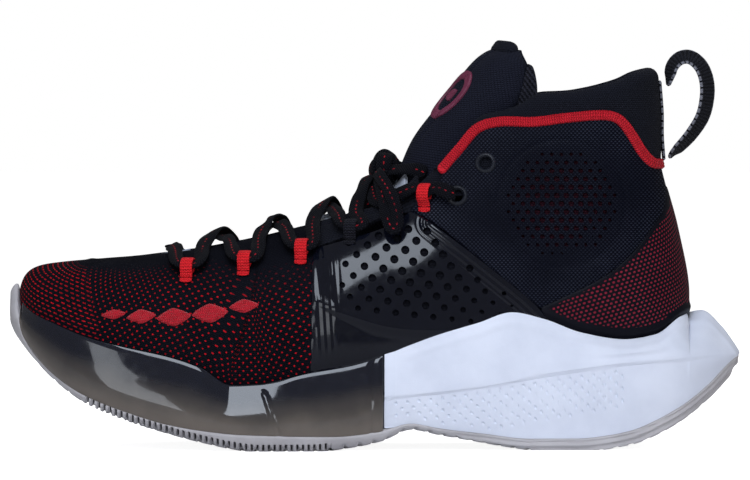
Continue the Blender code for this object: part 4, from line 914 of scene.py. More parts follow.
def build_ankles():
    centres = lattice(ANKLE_HOLES, np.array((4.0, 0.0)), np.array((2.0, 3.4)), 9)
    reach = np.hypot(*(centres - ANKLE_HOLES).T)
    centres, reach = centres[reach < ANKLE_HOLES_REACH], reach[reach < ANKLE_HOLES_REACH]
    radii = list(1.25 - 0.5 * smoothstep(10.0, ANKLE_HOLES_REACH, reach)) + [EYELET_BORE] * len(EYELETS)
    for name, side in SIDES.items():
        holed = pierced(ankle_patch(side, 330, 240), list(centres) + list(EYELETS), radii)
        place = holed.side_view()
        edge = np.minimum(inside_by(place, ANKLE_OUTLINE), throat_gap(holed))
        holed.values["uv"] = place
        holed.values["edge"] = edge
        # A shallow ring goes round the holes, and a low swell curves behind the eyelets.
        circle = np.abs(np.hypot(*(place - ANKLE_HOLES).T) - ANKLE_HOLES_REACH - 3.0)
        sweep = to_line(place, smooth_line(ANKLE_SWEEP))[0]
        lift = rounded(edge, 0.6, 1.0) - 0.25 * bell(circle, 0.0, 1.0) + 0.5 * bell(sweep, 0.0, 3.0)
        put(f"ankle_{name}", holed.thick(lift, -0.5), LOOKS["coated"],
            replaces=[f"ankle_panel_{name}"], slot="coated_mesh")
        under = ankle_patch(side, 80, 60, 1.5, 1.0)
        for eyelet in EYELETS:
            under = under.cut(np.hypot(*(under.side_view() - eyelet).T) - EYELET_BORE - 0.8)
        under.values["uv"] = under.side_view()
        put(f"ankle_backing_{name}", under.thick(-0.55, -1.0), LOOKS["backing"], slot="knit")


HEEL_OUTLINE = np.vstack([((150.0, 10.0), (84.0, 10.0)), smooth_line(CAGE_REAR[2:])[::-1],
                          smooth_line(REAR_SEAM[::-1]), ((123.4, 118.6), (150.0, 118.6))])


BACK_X, BACK_LONG, BACK_WIDE = 85.0, 41.0, 32.0  # the ellipse that the back of the heel follows in plan


def build_heel():
    patch = last_patch(10.8, 16.6, 260, 0.9, 2 * math.pi - 0.9, 420)
    patch = patch.cut(inside_by(patch.side_view(), HEEL_OUTLINE))
    patch = patch.cut(over_sole(patch, 4.0))
    x, y, z = patch.co.T
    turn = np.arctan2(np.abs(y) / BACK_WIDE, (x - BACK_X) / BACK_LONG)
    along = np.where(x > BACK_X, BACK_X + BACK_LONG * (math.pi / 2 - turn), x)
    seam, _ = to_line(patch.side_view(), smooth_line(REAR_SEAM))
    margin = z - sole_top(x)
    patch.values["uv"] = np.stack([along * np.where(y < 0, 1, -1) + 0.25 * z, z - 0.32 * along], 1)
    # The dots leave a plain margin over the sole and by the seam, and fade upwards and forwards.
    patch.values["tint"] = (smoothstep(4.6, 5.6, margin + 0.03 * np.maximum(96.0 - x, 0.0))
                            * smoothstep(112.0, 99.0, z) * smoothstep(1.6, 2.4, seam)
                            * smoothstep(72.0, 80.0, x))
    lift = rounded(np.minimum(seam, 20.0), 0.45, 0.8) + 0.6 * bell(margin, 2.4, 1.6)
    put("heel_wrap", patch.thick(lift, -0.9), LOOKS["heel"],
        replaces=["heel_panel"], slot="dotted_synthetic")


def collar_gap(patch, raised=0.0):
    """Distance below the collar's top edge, or below a line raised over it."""
    edge = smooth_line(COLLAR_EDGE) + (0.0, raised)
    place = patch.side_view()
    below = height(edge, place[:, 0]) - place[:, 1]
    return np.sign(below) * to_line(place, edge)[0]


COLLAR_PUFF = 2.0  # how far the soft roll stands above the drawn edge


COLLAR_LOW = ((20.0, 104.0), (40.0, 106.0), (60.0, 104.0), (96.0, 104.0), (130.0, 104.0))
PIPING_HEIGHT = PIPING[:6] + PIPING[7:]


def build_collar():
    """The padded roll round the ankle: its outer and inner skins meet along the top edge."""
    patch = last_patch(10.6, 18.0, 230, 0.0, 2 * math.pi, 300, closed=True)
    patch = patch.cut(collar_gap(patch, COLLAR_PUFF))
    patch = patch.cut(throat_gap(patch))
    patch = patch.cut(patch.co[:, 2] - height(COLLAR_LOW, patch.co[:, 0]))
    top = np.minimum(collar_gap(patch, COLLAR_PUFF), throat_gap(patch))
    band = to_line(patch.side_view(), smooth_line(PIPING))[0]
    over = patch.co[:, 2] > height(PIPING_HEIGHT, patch.co[:, 0])
    roll = quarter(top / 4.6)
    puff = 1.3 * np.where(over, np.clip(band / 7.0, 0, 1), 0.0)
    outer = -3.0 + (2.0 + np.where(over, 1.2 + puff, 0.0) * 0.9) * roll
    inner = -3.2 - 2.4 * roll - 1.6 * np.sin(math.pi * np.clip(top / 30.0, 0, 1))
    patch.values["uv"] = np.stack([patch.co[:, 0] * 1.05, patch.co[:, 2]], 1)
    pad = put("collar_pad", patch.thick(outer, inner), LOOKS["collar"],
              replaces=["collar_padding"], slot="padding")


LINING_SEAM = -59.3  # where the lining of the forefoot meets the sleeve round the ankle


def over_feather(patch):
    """Height over the line where the upper meets the board."""
    return patch.co[:, 2] - height(FEATHER, patch.co[:, 0])


def build_linings():
    sleeve = last_patch(7.6, 18.0, 220, 0.0, 2 * math.pi, 240, closed=True)
    sleeve = sleeve.cut(collar_gap(sleeve) - 16.0)
    sleeve = sleeve.cut(throat_gap(sleeve) + 1.0)
    sleeve = sleeve.cut(sleeve.co[:, 0] - LINING_SEAM - 0.3)
    sleeve = sleeve.cut(over_feather(sleeve) - 0.2)
    sleeve.values["uv"] = sleeve.side_view()
    put("ankle_lining", sleeve.thick(-5.6, -6.6), LOOKS["lining"], replaces=["collar_lining"], slot="lining")
    front = last_patch(0.03, 8.4, 160, 0.0, 2 * math.pi, 160, closed=True)
    front = front.cut(LINING_SEAM - 0.3 - front.co[:, 0])
    front = front.cut(throat_gap(front) + 1.0)
    front = front.cut(over_feather(front) - 0.2)
    front.values["uv"] = front.side_view()
    put("forefoot_lining", front.thick(-3.5, -4.6), LOOKS["lining"], replaces=["vamp_lining"], slot="lining")
    bed = last_patch(0.5, 13.0, 200, math.pi * 0.5, math.pi * 1.5, 160)
    bed = bed.cut(-over_feather(bed) - 0.3)
    bed = bed.cut(118.0 - bed.co[:, 0])
    bed.values["uv"] = bed.co[:, :2]
    put("foot_bed", bed.thick(-1.9, -5.6), LOOKS["insole"], replaces=["insole"], slot="insole")


PIPING_HALF = 2.15


def build_piping():
    line = smooth_line(PIPING)
    for name, side in SIDES.items():
        patch = side_patch(side, 11.0, 17.4, 330, 0.0, 3.14, 300)
        patch = patch.cut(patch.co[:, 1] * side)
        patch = patch.cut(PIPING_HALF - to_line(patch.side_view(), line)[0])
        patch = patch.cut(throat_gap(patch))
        away, along = to_line(patch.side_view(), line)
        below = patch.co[:, 2] < height(PIPING_HEIGHT, patch.co[:, 0])
        patch.values["uv"] = np.stack([along, np.where(below, -away, away)], 1)
        lift = rounded(PIPING_HALF - away, 1.5, 1.0, 0.4) + 0.12 * ripple(away, 1.4)
        put(f"piping_{name}", patch.thick(lift, 0.1), LOOKS["red_band"],
            replaces=[f"collar_piping_{name}"], slot="red_webbing")


# The forefoot pad: a plain row of lozenges in satin stitch. Each is centre x, z; half length, half height.
LOZENGES = ((-108.0, 56.4, 5.2, 2.0), (-96.5, 55.6, 6.2, 2.9), (-83.0, 55.4, 7.2, 3.7), (-68.0, 57.0, 7.6, 3.9),
            (-54.0, 60.0, 6.2, 2.8))
LOZENGE_TURN = math.radians(6.0)


def in_lozenge(patch, x, z, long, tall):
    """Places along and across a lozenge, and how far inside its outline they are."""
    place = patch.side_view() - (x, z)
    c, s = math.cos(LOZENGE_TURN), math.sin(LOZENGE_TURN)
    u, v = place @ (c, s), place @ (-s, c)
    return u, v, tall * (1.0 - (np.abs(u) / long) ** 1.25 - (np.abs(v) / tall) ** 1.25)


def build_accents():
    for name, side in SIDES.items():
        fine = side_patch(side, 3.4, 8.9, 420, 0.4, 1.75, 200)
        parts = []
        for lozenge in LOZENGES:
            part = fine.cut(in_lozenge(fine, *lozenge)[2])
            u, v, inset = in_lozenge(part, *lozenge)
            slant = u + 0.55 * np.abs(v)
            stitches = 0.1 * ripple(slant, 0.9) * smoothstep(0.1, 0.5, inset)
            part.values["uv"] = np.stack([slant, v], 1)
            parts.append(part.thick(0.4 + 0.95 * smoothstep(-0.25, 1.0, inset) + stitches, 0.1))
        put(f"lozenges_{name}", joined(*parts), LOOKS["satin"], replaces=[f"forefoot_accent_{name}"],
            slot="red_embroidery")


# ---------------------------------------------------------------- the sole
def sole_stations(stops):
    """Section rows of the sole at even steps in each stretch; stops are (x, step after it)."""
    along = lengths(SOLE[:, [0, 2, 4, 5]])
    fine = np.linspace(0.0, along[-1], 6000)
    x_fine = pchip(along, SOLE[:, 0], fine)
    at, here = [0.0], 0.0
    places, steps = zip(*stops)
    while here < along[-1]:
        x = np.interp(here, fine, x_fine)
        here += steps[max(np.searchsorted(places, x) - 1, 0)]
        at.append(min(here, along[-1]))
    at = np.array(at)
    return np.stack([pchip(along, SOLE[:, k], at) for k in range(6)], 1)


def rim_reach(x, high, side):
    """Half-width of the sole's top edge: the upper's side and the wall round it. It is 0 past the upper."""
    return np.array([abs(on_last(at, min(z, 60.0), side)[0].y) + 2.4 if -147.0 < at < 131.0 else 0.0
                     for at, z in zip(x, high)])


def sole_patch(stops, around):
    """The sole's outer skin: from the lateral top edge down, across the ground and up to the medial one."""
    x, low, wide, high, lateral, medial = sole_stations(stops).T
    count = around // 2
    even_steps = np.linspace(0.0, 1.0, count + 1)
    at = 8.0 * (0.35 * even_steps + 0.65 * even_steps ** 0.8)
    skin = []
    for side, reach in ((-1, lateral), (1, medial)):
        rim = np.minimum(rim_reach(x, high, side), reach - 0.2) * smoothstep(-150.4, -147.0, x)
        base = np.maximum(reach - 3.2, 0.7)
        # Half a section, as nine (out, up) points from the middle of the ground to the top edge.
        profile = (
            (0.0 * base, low), (0.35 * base, low), (0.7 * base, low), (0.93 * base, low + 0.1),
            (base, low + np.minimum(1.6, 0.3 * (wide - low))),
            (0.35 * base + 0.65 * reach, low + (wide - low) * 0.45), (reach, wide),
            (0.62 * reach + 0.38 * rim, wide + 0.45 * (high - wide)), (rim, high))
        points = np.stack([np.stack(point, 1) for point in profile])
        curve = catmull(points.reshape(len(profile), -1), at).reshape(count + 1, len(x), 2)
        out = side * np.maximum(curve[..., 0], 0.0)
        skin.append(np.stack([np.broadcast_to(x, out.shape), out, curve[..., 1]], -1))
    ring = np.concatenate([skin[0][::-1], skin[1][1:]]).transpose(1, 0, 2)
    normals = grid_normals(ring)
    if normals[len(ring) // 2, 3, 1] > 0:
        normals = -normals
    co, no = ring.reshape(-1, 3), normals.reshape(-1, 3)
    return Patch(faced(grid_tris(*ring.shape[:2]), co, no), co=co, no=no)


def sole_skin(patch, outer, inner=-2.2):
    """The sole's skin given its thickness. The tips' last normals are loose, so nothing passes the tips."""
    skin = patch.thick(outer, inner)
    skin.co[:, 0] = np.clip(skin.co[:, 0], SOLE[0, 0] + 0.1, SOLE[-1, 0] - 0.1)
    return skin


def over_outsole(patch):
    """Height of each point over the outsole's upper edge."""
    return patch.co[:, 2] - height(OUTSOLE_TOP, patch.co[:, 0])


TREAD_PITCH = 6.0
GROUND = 0.02
SHELL_END, FOAM_START = 3.7, 4.2  # the seam between the shell and the heel foam


def build_outsole():
    patch = sole_patch(((-160.0, 0.5), (-123.0, 0.3), (-16.0, 0.9)), 230)
    patch = patch.cut(-over_outsole(patch))
    x, y, z = patch.co.T
    down = patch.no[:, 2]
    edge = -over_outsole(patch)
    x0, x1, pitch, tall = SLOTS
    phase = np.abs(((x - x0) / pitch) % 1.0 - 0.5) * pitch
    up = z - pchip(SOLE[:, 0], SOLE[:, 1], x)
    on_side = smoothstep(0.25, 0.45, np.hypot(patch.no[:, 0], patch.no[:, 1]))
    toothed = (smoothstep(x0 - 1, x0 + 1, x) * smoothstep(x1 + 1, x1 - 1, x)
               * smoothstep(tall, tall - 0.8, up) * on_side)
    patch.values["uv"] = np.stack([x - x0 - 0.25 * pitch, z], 1)
    # The tint attribute marks the toothed band, where the rubber's look paints shade into the slots between the
    # teeth.
    patch.values["tint"] = toothed
    slot = smoothstep(0.62, 0.38, phase) * toothed
    steps = 0.35 * smoothstep(30.0, 40.0, x) * on_side * ripple(edge, 2.6) * smoothstep(0.5, 1.5, edge)
    # The tread: zigzag grooves across the ground, and none along its middle line.
    zigzag = x + 2.6 * np.abs(((y + 400.0) / 9.0) % 2.0 - 1.0)
    groove = (smoothstep(0.3, 0.42, np.abs((zigzag / TREAD_PITCH) % 1.0 - 0.5))
              * smoothstep(-0.55, -0.85, down) * smoothstep(2.5, 4.0, np.abs(y)))
    lift = rounded(edge, 0.6, 0.9, 0.0) - 1.1 * slot + steps - 1.0 * groove
    # Nothing is lifted through the ground.
    to_ground = (z - GROUND) / np.maximum(-down, 0.3)
    lift = np.minimum(lift, np.where(z + down * lift < GROUND, to_ground, lift))
    put("rubber_outsole", sole_skin(patch, lift), LOOKS["rubber"], replaces=["outsole"],
        slot="grey_rubber", angle=40)


def build_shell():
    patch = sole_patch(((-160.0, 0.6), (-140.0, 1.0)), 190)
    patch = patch.cut(over_outsole(patch) - 0.1)
    patch = patch.cut(SHELL_END - patch.co[:, 0])
    x, _, z = patch.co.T
    high = sole_top(x)
    end = SHELL_END - x
    top = np.clip(high - z, 0.0, 30.0)
    low = height(OUTSOLE_TOP, x)
    patch.values["tint"] = np.clip((z - low) / np.maximum(high - low, 6.0), 0.0, 1.2)
    # One groove runs by the seam, and a leaning one crosses the side at the ball.
    grooves = bell(end, 5.0, 0.8) + bell(x + 0.35 * (z - 14), -42.0, 0.9) * smoothstep(2.0, 5.0, top)
    lift = rounded(np.minimum(end, top + 0.3), 0.2, 2.0, -0.6) - 0.5 * grooves
    put("smoky_shell", sole_skin(patch, lift), LOOKS["smoke"],
        replaces=["forefoot_tpu_shell"], slot="smoky_tpu")


# The crease along the heel foam, and the dimples below it: rows, first and last x, pitch and row height.
CREASE = ((4.0, 22.2), (5.5, 22.3), (49.5, 27.2), (69.0, 31.0), (86.0, 33.5), (102.0, 35.6), (118.0, 36.8),
          (153.0, 39.4))
DIMPLE_ROWS, DIMPLE_FROM, DIMPLE_TO, DIMPLE_PITCH, DIMPLE_ROW = 7, 9.0, 104.0, 4.8, 2.5


def dimple_centres():
    """Staggered rows of dimples below the crease, down to the outsole."""
    centres = []
    for row in range(DIMPLE_ROWS):
        start = DIMPLE_FROM + 0.5 * DIMPLE_PITCH * (row % 2)
        for x in np.arange(start, DIMPLE_TO, DIMPLE_PITCH):
            crease, low = (float(height(line, np.array([x]))[0]) for line in (CREASE, OUTSOLE_TOP))
            z = crease - 2.6 - DIMPLE_ROW * row
            if z > low + 2.2:
                centres.append((x, z))
    return centres


def build_midsole():
    patch = sole_patch(((-160.0, 30.0), (2.0, 0.5), (108.0, 0.8)), 240)
    patch = patch.cut(over_outsole(patch) - 0.1)
    patch = patch.cut(patch.co[:, 0] - FOAM_START)
    place = patch.side_view()
    patch.values["uv"] = place
    x, z = place.T
    top = sole_top(x) - z
    drop = height(CREASE, x) - z
    crease = 0.9 * smoothstep(-0.6, 0.9, drop) * smoothstep(16.0, 2.0, drop) * smoothstep(150.0, 128.0, x)
    bead = 0.35 * bell(top, 4.5, 1.4) * smoothstep(8.0, 16.0, x)
    lift = rounded(np.minimum(x - FOAM_START, top + 0.3), 0.3, 2.0, -0.5) - crease + bead
    for centre in dimple_centres():
        near = np.abs(place - centre).max(1) < 1.2
        lift[near] -= 0.55 * smoothstep(0.75, 0.35, np.hypot(*(place[near] - centre).T))
    put("heel_foam", patch.thick(lift, -4.0), LOOKS["foam"], replaces=["heel_midsole"],
        slot="white_foam", angle=28)


# ---------------------------------------------------------------- tongue
def tongue_patch(start, end, rows, columns):
    """Part of the tongue's outer face as a patch; values row and across say where a vertex is."""
    at = np.linspace(start, end, rows)
    table = catmull(TONGUE, at)[:, :, None]
    fx, fz, ex, ez, wide = (table[:, k] for k in range(5))
    ex = ex + 2.5 * (smoothstep(7.0, 8.5, at) * smoothstep(11.0, 9.4, at))[:, None]
    phi = np.linspace(-0.5 * math.pi, 0.5 * math.pi, columns)[None]
    along = 1 - np.cos(phi)
    points = np.stack([fx + (ex - fx) * along, wide * np.sin(phi), fz + (ez - fz) * along], -1)
    normals = grid_normals(points)
    middle = normals[rows // 2, columns // 2]
    if middle[2] - middle[0] < 0:
        normals = -normals
    girth = np.cumsum(np.linalg.norm(np.diff(points, axis=1, prepend=points[:, :1]), axis=2), axis=1)
    girth -= girth[:, columns // 2: columns // 2 + 1]
    long = lengths(points[:, columns // 2])[:, None]
    uv = np.stack([girth, np.broadcast_to(long, girth.shape)], -1).reshape(-1, 2)
    edge = np.minimum(girth[:, -1:] - np.abs(girth), long[-1] - long)
    co, no = points.reshape(-1, 3), normals.reshape(-1, 3)
    return Patch(faced(grid_tris(rows, columns), co, no), co=co, no=no, uv=uv,
                 edge=np.maximum(edge, 0.0).ravel(), row=np.repeat(at, columns), across=girth.ravel())


def tongue_swell(patch):
    """How far the padded tongue's face stands off its pattern."""
    edge, across, row = patch.edge, np.abs(patch.across), patch.row
    full = quarter(edge / TONGUE_ROLL)
    channels = 0.7 * bell(across, 9.0, 1.0) * smoothstep(6.5, 7.2, row) * smoothstep(10.9, 10.3, row)
    return -3.2 + 2.0 * full + 0.6 * np.sin(math.pi * np.clip(edge / 26.0, 0, 1)) * full - channels


TONGUE_ROLL = 5.0  # how far in from its edge the tongue reaches its full thickness
BADGE_ASIDE = 8.0  # the badge sits towards the lateral side of the tongue's face
BADGE_HALF_WIDE, BADGE_HALF_TALL = 8.4, 13.0


def build_tongue():
    patch = tongue_patch(0.0, 11.0, 260, 110)
    inner = -2.6 - 2.4 * quarter(patch.edge / TONGUE_ROLL)
    tongue = put("tongue_pad", patch.thick(tongue_swell(patch), inner), LOOKS["tongue"], body=None,
                 replaces=["tongue_lower", "tongue_upper"], slot="padding")
    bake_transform(tongue)


def build_badge():
    """A plain moulded oval ring with a dot in it."""
    patch = tongue_patch(7.2, 10.0, 150, 240)
    long = patch.uv[:, 1] - patch.uv[:, 1].mean()
    away = np.hypot((patch.across + BADGE_ASIDE) / BADGE_HALF_WIDE, long / BADGE_HALF_TALL)
    patch.values["gap"] = np.maximum(0.17 - np.abs(away - 0.8), 0.24 - away) * 8.0
    badge = patch.cut(patch.gap)
    whole = tongue_patch(0.0, 11.0, 200, 240)
    base = tongue_swell(whole)[nearest(badge.co, whole.co)[0]]
    put("tongue_ring", badge.thick(base + rounded(badge.gap, 0.95, 0.7, 0.2), base - 0.3), LOOKS["badge"],
        body="tongue", replaces=["tongue_badge"], slot="badge")


def build_tip_binding():
    """The binding folds over the tongue's tip."""
    tip = catmull(TONGUE, np.array([10.97]))[0]
    phi = np.linspace(-1.3, 1.3, 90)
    along = 1 - np.cos(phi)
    path = np.stack([tip[0] + (tip[2] - tip[0]) * along + 1.2, tip[4] * np.sin(phi),
                     tip[1] + (tip[3] - tip[1]) * along - 1.6], 1)
    ups = np.broadcast_to(unit(np.array((-0.8, 0.0, 0.6))), path.shape)
    put("tip_binding", ribbon(path, ups, 6.2, 4.6, ends=5.0), LOOKS["collar"], body="tongue",
        replaces=["tongue_binding"], slot="padding")


def build_gussets():
    """Flat ribbed elastic beside the tongue, which stretches between it and the shoe."""
    outline = smooth_line(GUSSET + GUSSET[:1])
    xs, zs = np.meshgrid(np.linspace(58, 68.5, 60), np.linspace(140, 160, 90), indexing="ij")
    for name, side in SIDES.items():
        co = np.stack([xs, np.full_like(xs, side * 19.3), zs], -1).reshape(-1, 3)
        no = np.tile((0.0, float(side), 0.0), (xs.size, 1))
        flat = Patch(faced(grid_tris(*xs.shape), co, no), co=co, no=no)
        flat = flat.cut(inside_by(flat.side_view(), outline))
        slant = flat.side_view() @ (0.8, 0.6)
        flat.values["uv"] = np.stack([slant, flat.co[:, 2]], 1)
        strap = put(f"gusset_{name}", flat.thick(0.7 + 0.18 * ripple(slant, 1.6), -0.7), LOOKS["elastic"],
                    body=None, replaces=[f"tongue_gusset_{name}"], slot="elastic")
        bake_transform(strap)


def build_throat_film():
    """The glossy film shows in the throat's gaps between the laces."""
    parts = []
    for x0, x1 in ((-91.0, -77.0), (-24.0, -13.5), (5.0, 12.0)):
        patch = last_patch(5.0, 13.5, 300, -0.9, 0.9, 160)
        patch = patch.cut(-throat_gap(patch) - 0.4)
        patch = patch.cut(np.where(patch.co[:, 2] > 60, 1.0, -1.0))
        patch = patch.cut(np.minimum(patch.co[:, 0] - x0, x1 - patch.co[:, 0]))
        edge = np.minimum(patch.co[:, 0] - x0, x1 - patch.co[:, 0])
        parts.append(patch.thick(-1.2 + rounded(edge, 0.5, 1.5), -2.4))
    put("throat_gloss", joined(*parts), LOOKS["throat"], replaces=["throat_film"], slot="grey_film")


# ---------------------------------------------------------------- ribbons, laces and loops
def ribbon(path, ups, width, thick, ends=1.5, steps=14):
    """A flat band along a path. Its section is a rounded bar; it narrows over its last few millimetres."""
    path = np.asarray(path, float)
    tangent = unit(np.gradient(path, axis=0))
    ups = unit(ups - tangent * (ups * tangent).sum(1, keepdims=True))
    across = np.cross(tangent, ups)
    length = lengths(path)
    near_end = np.minimum(length, length[-1] - length)
    shrink = quarter((near_end + 0.05) / ends)[:, None] if ends else 1.0
    turn = np.arange(steps) * 2 * math.pi / steps
    c, s = np.cos(turn), np.sin(turn)
    side = np.sign(c) * np.abs(c) ** 0.55 * 0.5
    rise = np.sign(s) * np.abs(s) ** 0.7 * 0.5
    width = np.broadcast_to(width, len(path))[:, None] * shrink
    thick = np.broadcast_to(thick, len(path))[:, None] * shrink
    co = path[:, None] + across[:, None] * (side * width)[..., None] + ups[:, None] * (rise * thick)[..., None]
    co = co.reshape(-1, 3)
    first = np.stack([np.full(steps - 2, 0), np.arange(1, steps - 1), np.arange(2, steps)], 1)
    last = first[:, ::-1] + (len(path) - 1) * steps
    tris = np.concatenate([grid_tris(len(path), steps, closed=True), first, last])
    a, b, c = (co[tris[:, k]] for k in range(3))
    if (a * np.cross(b, c)).sum() < 0:
        tris = tris[:, ::-1]
    uv = np.stack([np.repeat(length, steps), (side * width).ravel()], 1)
    return Patch(tris, co=co, uv=uv, edge=(width * (0.5 - np.abs(side))).ravel())


def even(points, step=0.7):
    """A smooth path through the points at even steps, and its length."""
    points = np.asarray([tuple(point) for point in points], float)
    line = catmull(points, np.linspace(0, len(points) - 1, 24 * len(points)))
    whole = lengths(line)[-1]
    return along_line(line, np.linspace(0.0, whole, max(int(whole / step), 8))), whole


def last_ups(path):
    """The last's outward normal by each point of a path, smoothed along it."""
    ups = []
    for p in path:
        place, _, face, _ = LAST_TREE.find_nearest(Vector(p))
        ups.append(surface_normal(place, face))
    ups = np.array([tuple(u) for u in ups])
    for _ in range(12):
        ups[1:-1] = unit(ups[:-2] + ups[1:-1] * 2 + ups[2:])
    return ups


LACE_WIDTH, LACE_THICK = 6.4, 1.5
BOW_WIDTH = 5.4


def lace(name, points, seed, twist=0.25, width=LACE_WIDTH, bunched=(), **declared):
    """A stretch of lace. Its width and tilt wander as a worn flat lace's do."""
    path, length = even(points)
    rng = np.random.default_rng(seed)
    at = np.linspace(0, 1, len(path))
    wander = sum(rng.uniform(-1, 1) * np.sin(2 * math.pi * (k * at * length / 60.0 + rng.uniform()))
                 for k in (1, 2, 3))
    ups = last_ups(path)
    tangent = unit(np.gradient(path, axis=0))
    tilt = (twist * wander)[:, None]
    ups = ups * np.cos(tilt) + np.cross(tangent, ups) * np.sin(tilt)
    wide = width * (1.0 - 0.1 * np.abs(wander) / 2)
    for place in bunched:
        wide = wide * (1.0 - 0.42 * bell(np.linalg.norm(path - np.array(tuple(place)), axis=1), 0.0, 4.5))
    thick = LACE_THICK * (1 + 0.12 * wander / 2)
    obj = put(name, ribbon(path, ups, wide, thick, steps=18), LOOKS["lace"], slot="lace", angle=50, **declared)
    return obj, path


LOOP_LIFT, LOOP_RISE = 0.9, 6.2


def frame_matrix(place, normal):
    """Local X along the shoe, Y up the surface, Z out of it."""
    out = normal.normalized()
    across = Vector((0, 0, 1)).cross(out).normalized()
    rise = out.cross(across).normalized()
    return Matrix.Translation(place) @ Matrix((across, rise, out)).transposed().to_4x4()


def loop_frame(x, z, side):
    place, normal = on_last(x, z, side, LOOP_LIFT)
    return frame_matrix(place, normal)


# A webbing loop from its sewn end round and back, and half an eyelet's section: (up, out) and (radius, out).
LOOP_PATH = ((-6.2, -0.1), (-4.2, 0.35), (-2.8, 1.6), (-1.6, 4.0), (0.5, 5.2), (2.9, 4.8), (4.7, 3.4),
             (5.2, 1.9), (4.2, 0.9), (1.8, 0.5), (-0.9, 0.35))
EYELET_SECTION = ((2.3, -1.2), (2.5, 0.5), (2.75, 1.25), (3.3, 1.7), (3.9, 1.55), (4.35, 1.0), (4.5, 0.45),
                  (3.1, 0.4), (2.9, -1.2))


def webbing_loop(matrix):
    """A folded band that the lace runs through."""
    path, _ = even([matrix @ Vector((0.0, rise, out)) for rise, out in LOOP_PATH], 0.5)
    middle = np.array(tuple(matrix @ Vector((0.0, 0.0, 2.6))))
    return ribbon(path, unit(path - middle), 5.2, 1.05, ends=0.6, steps=18)


def eyelet_ring(matrix, turns=48):
    """The eyelet's section turned about its hole; the last turn's triangles join the first."""
    matrix = np.array(matrix)
    radius, out = np.array(EYELET_SECTION).T
    turn = (np.arange(turns) * 2 * math.pi / turns)[:, None]
    out = np.broadcast_to(out, (turns, len(out)))
    local = np.stack([radius * np.cos(turn), radius * np.sin(turn), out], -1)
    tris = grid_tris(turns + 1, len(radius), closed=True) % (turns * len(radius))
    return Patch(tris, co=local.reshape(-1, 3) @ matrix[:3, :3].T + matrix[:3, 3])


def build_loops():
    for name, side in SIDES.items():
        stops = [(x, z, f"lace_loop_{k + 1}_{name}", "red") for k, (x, z) in enumerate(LACE_LOOPS)]
        stops.append((*HIDDEN_LOOP, f"hidden_loop_{name}", "black"))
        for x, z, node, colour in stops:
            put("webbing_" + node, webbing_loop(loop_frame(x, z, side)), LOOKS[colour + "_loop"],
                replaces=[node], slot=colour + "_webbing", angle=50)
        for height_name, (x, z) in zip(("lower", "upper"), EYELETS):
            node = f"eyelet_{height_name}_{name}"
            put("ring_" + node, eyelet_ring(frame_matrix(*on_last(x, z, side))), LOOKS["ring"],
                replaces=[node], slot="black_plastic", angle=45)


def over_throat(x, lift):
    """A place over the middle line of the throat."""
    hit = LAST_TREE.ray_cast(Vector((x, 0.0, 300.0)), Vector((0, 0, -1)))[0]
    return Vector((x, 0.0, hit.z + lift))


def over_facing(x, y, lift):
    """A place over the last, out from it at x, y in plan."""
    hit, _, face, _ = LAST_TREE.ray_cast(Vector((x, y, 300.0)), Vector((0, 0, -1)))
    return hit + surface_normal(hit, face) * lift


LACE_STOPS = LACE_LOOPS[:3] + (HIDDEN_LOOP, LACE_LOOPS[3])


def through_loop(x, z, side):
    """Three points of the lace through a loop."""
    local = loop_frame(x, z, side)
    turns = ((4.6, 3.4), (0.0, 0.2), (-4.6, 3.4))
    return [local @ Vector((dx * -side, rise, LOOP_RISE / 2)) for dx, rise in turns]


def lace_route(start_side):
    """Half the lace: from the lowest bar, zigzag through the loops to the eyelet, as in part.py."""
    side = start_side
    route = [over_throat(-85.0, 2.4) + Vector((0, 2.2 * side, 0)), over_facing(-83.0, side * 15.0, 2.6)]
    for k, (x, z) in enumerate(LACE_STOPS):
        passing = through_loop(x, z, side)
        if passing[0].x > passing[-1].x:
            passing.reverse()
        route += passing
        if k + 1 < len(LACE_STOPS):
            middle = x + (LACE_STOPS[k + 1][0] - x) * (0.5 if k < 3 else 0.24)
            over = (k % 2 == 0) == (start_side < 0)
            lift = (5.6 if over else 2.6) + (4.0 if k == 3 else 0.0)
            route.append(over_facing(middle - 5.0, side * (17.0 + k), 3.0))
            route.append(over_throat(middle, lift))
            route.append(over_facing(middle + 5.0, -side * (17.0 + k), 3.0))
            side = -side
    place, normal = on_last(*EYELETS[0], side)
    route.append(place + normal * 4.4 + Vector((-3.0, 0, 0.5)))
    route.append(place + normal * 2.2 + Vector((-0.6, 0, 0.1)))
    return route


def on_tongue(y, z, lift):
    """A place off the tongue's face, at y and at height z."""
    for at in np.linspace(0, len(TONGUE) - 1, 240):
        fx, fz, ex, ez, wide = catmull(TONGUE, np.array([at]))[0]
        along = 1 - math.sqrt(max(0.0, 1 - (y / wide) ** 2))
        if fz + (ez - fz) * along >= z:
            return Vector((fx + (ex - fx) * along - lift, y, z + 0.25 * lift))
    return Vector((fx, y, z))


KNOT_HEIGHT, KNOT_LIFT = 114.6, 4.6
# The knot's turns: shift along y, half length and half height, and how far each leans.
KNOT_TURNS = ((0.0, 5.4, 5.2, 0.25), (1.8, 4.6, 6.6, -0.6), (-1.8, 4.8, 5.8, 1.1))
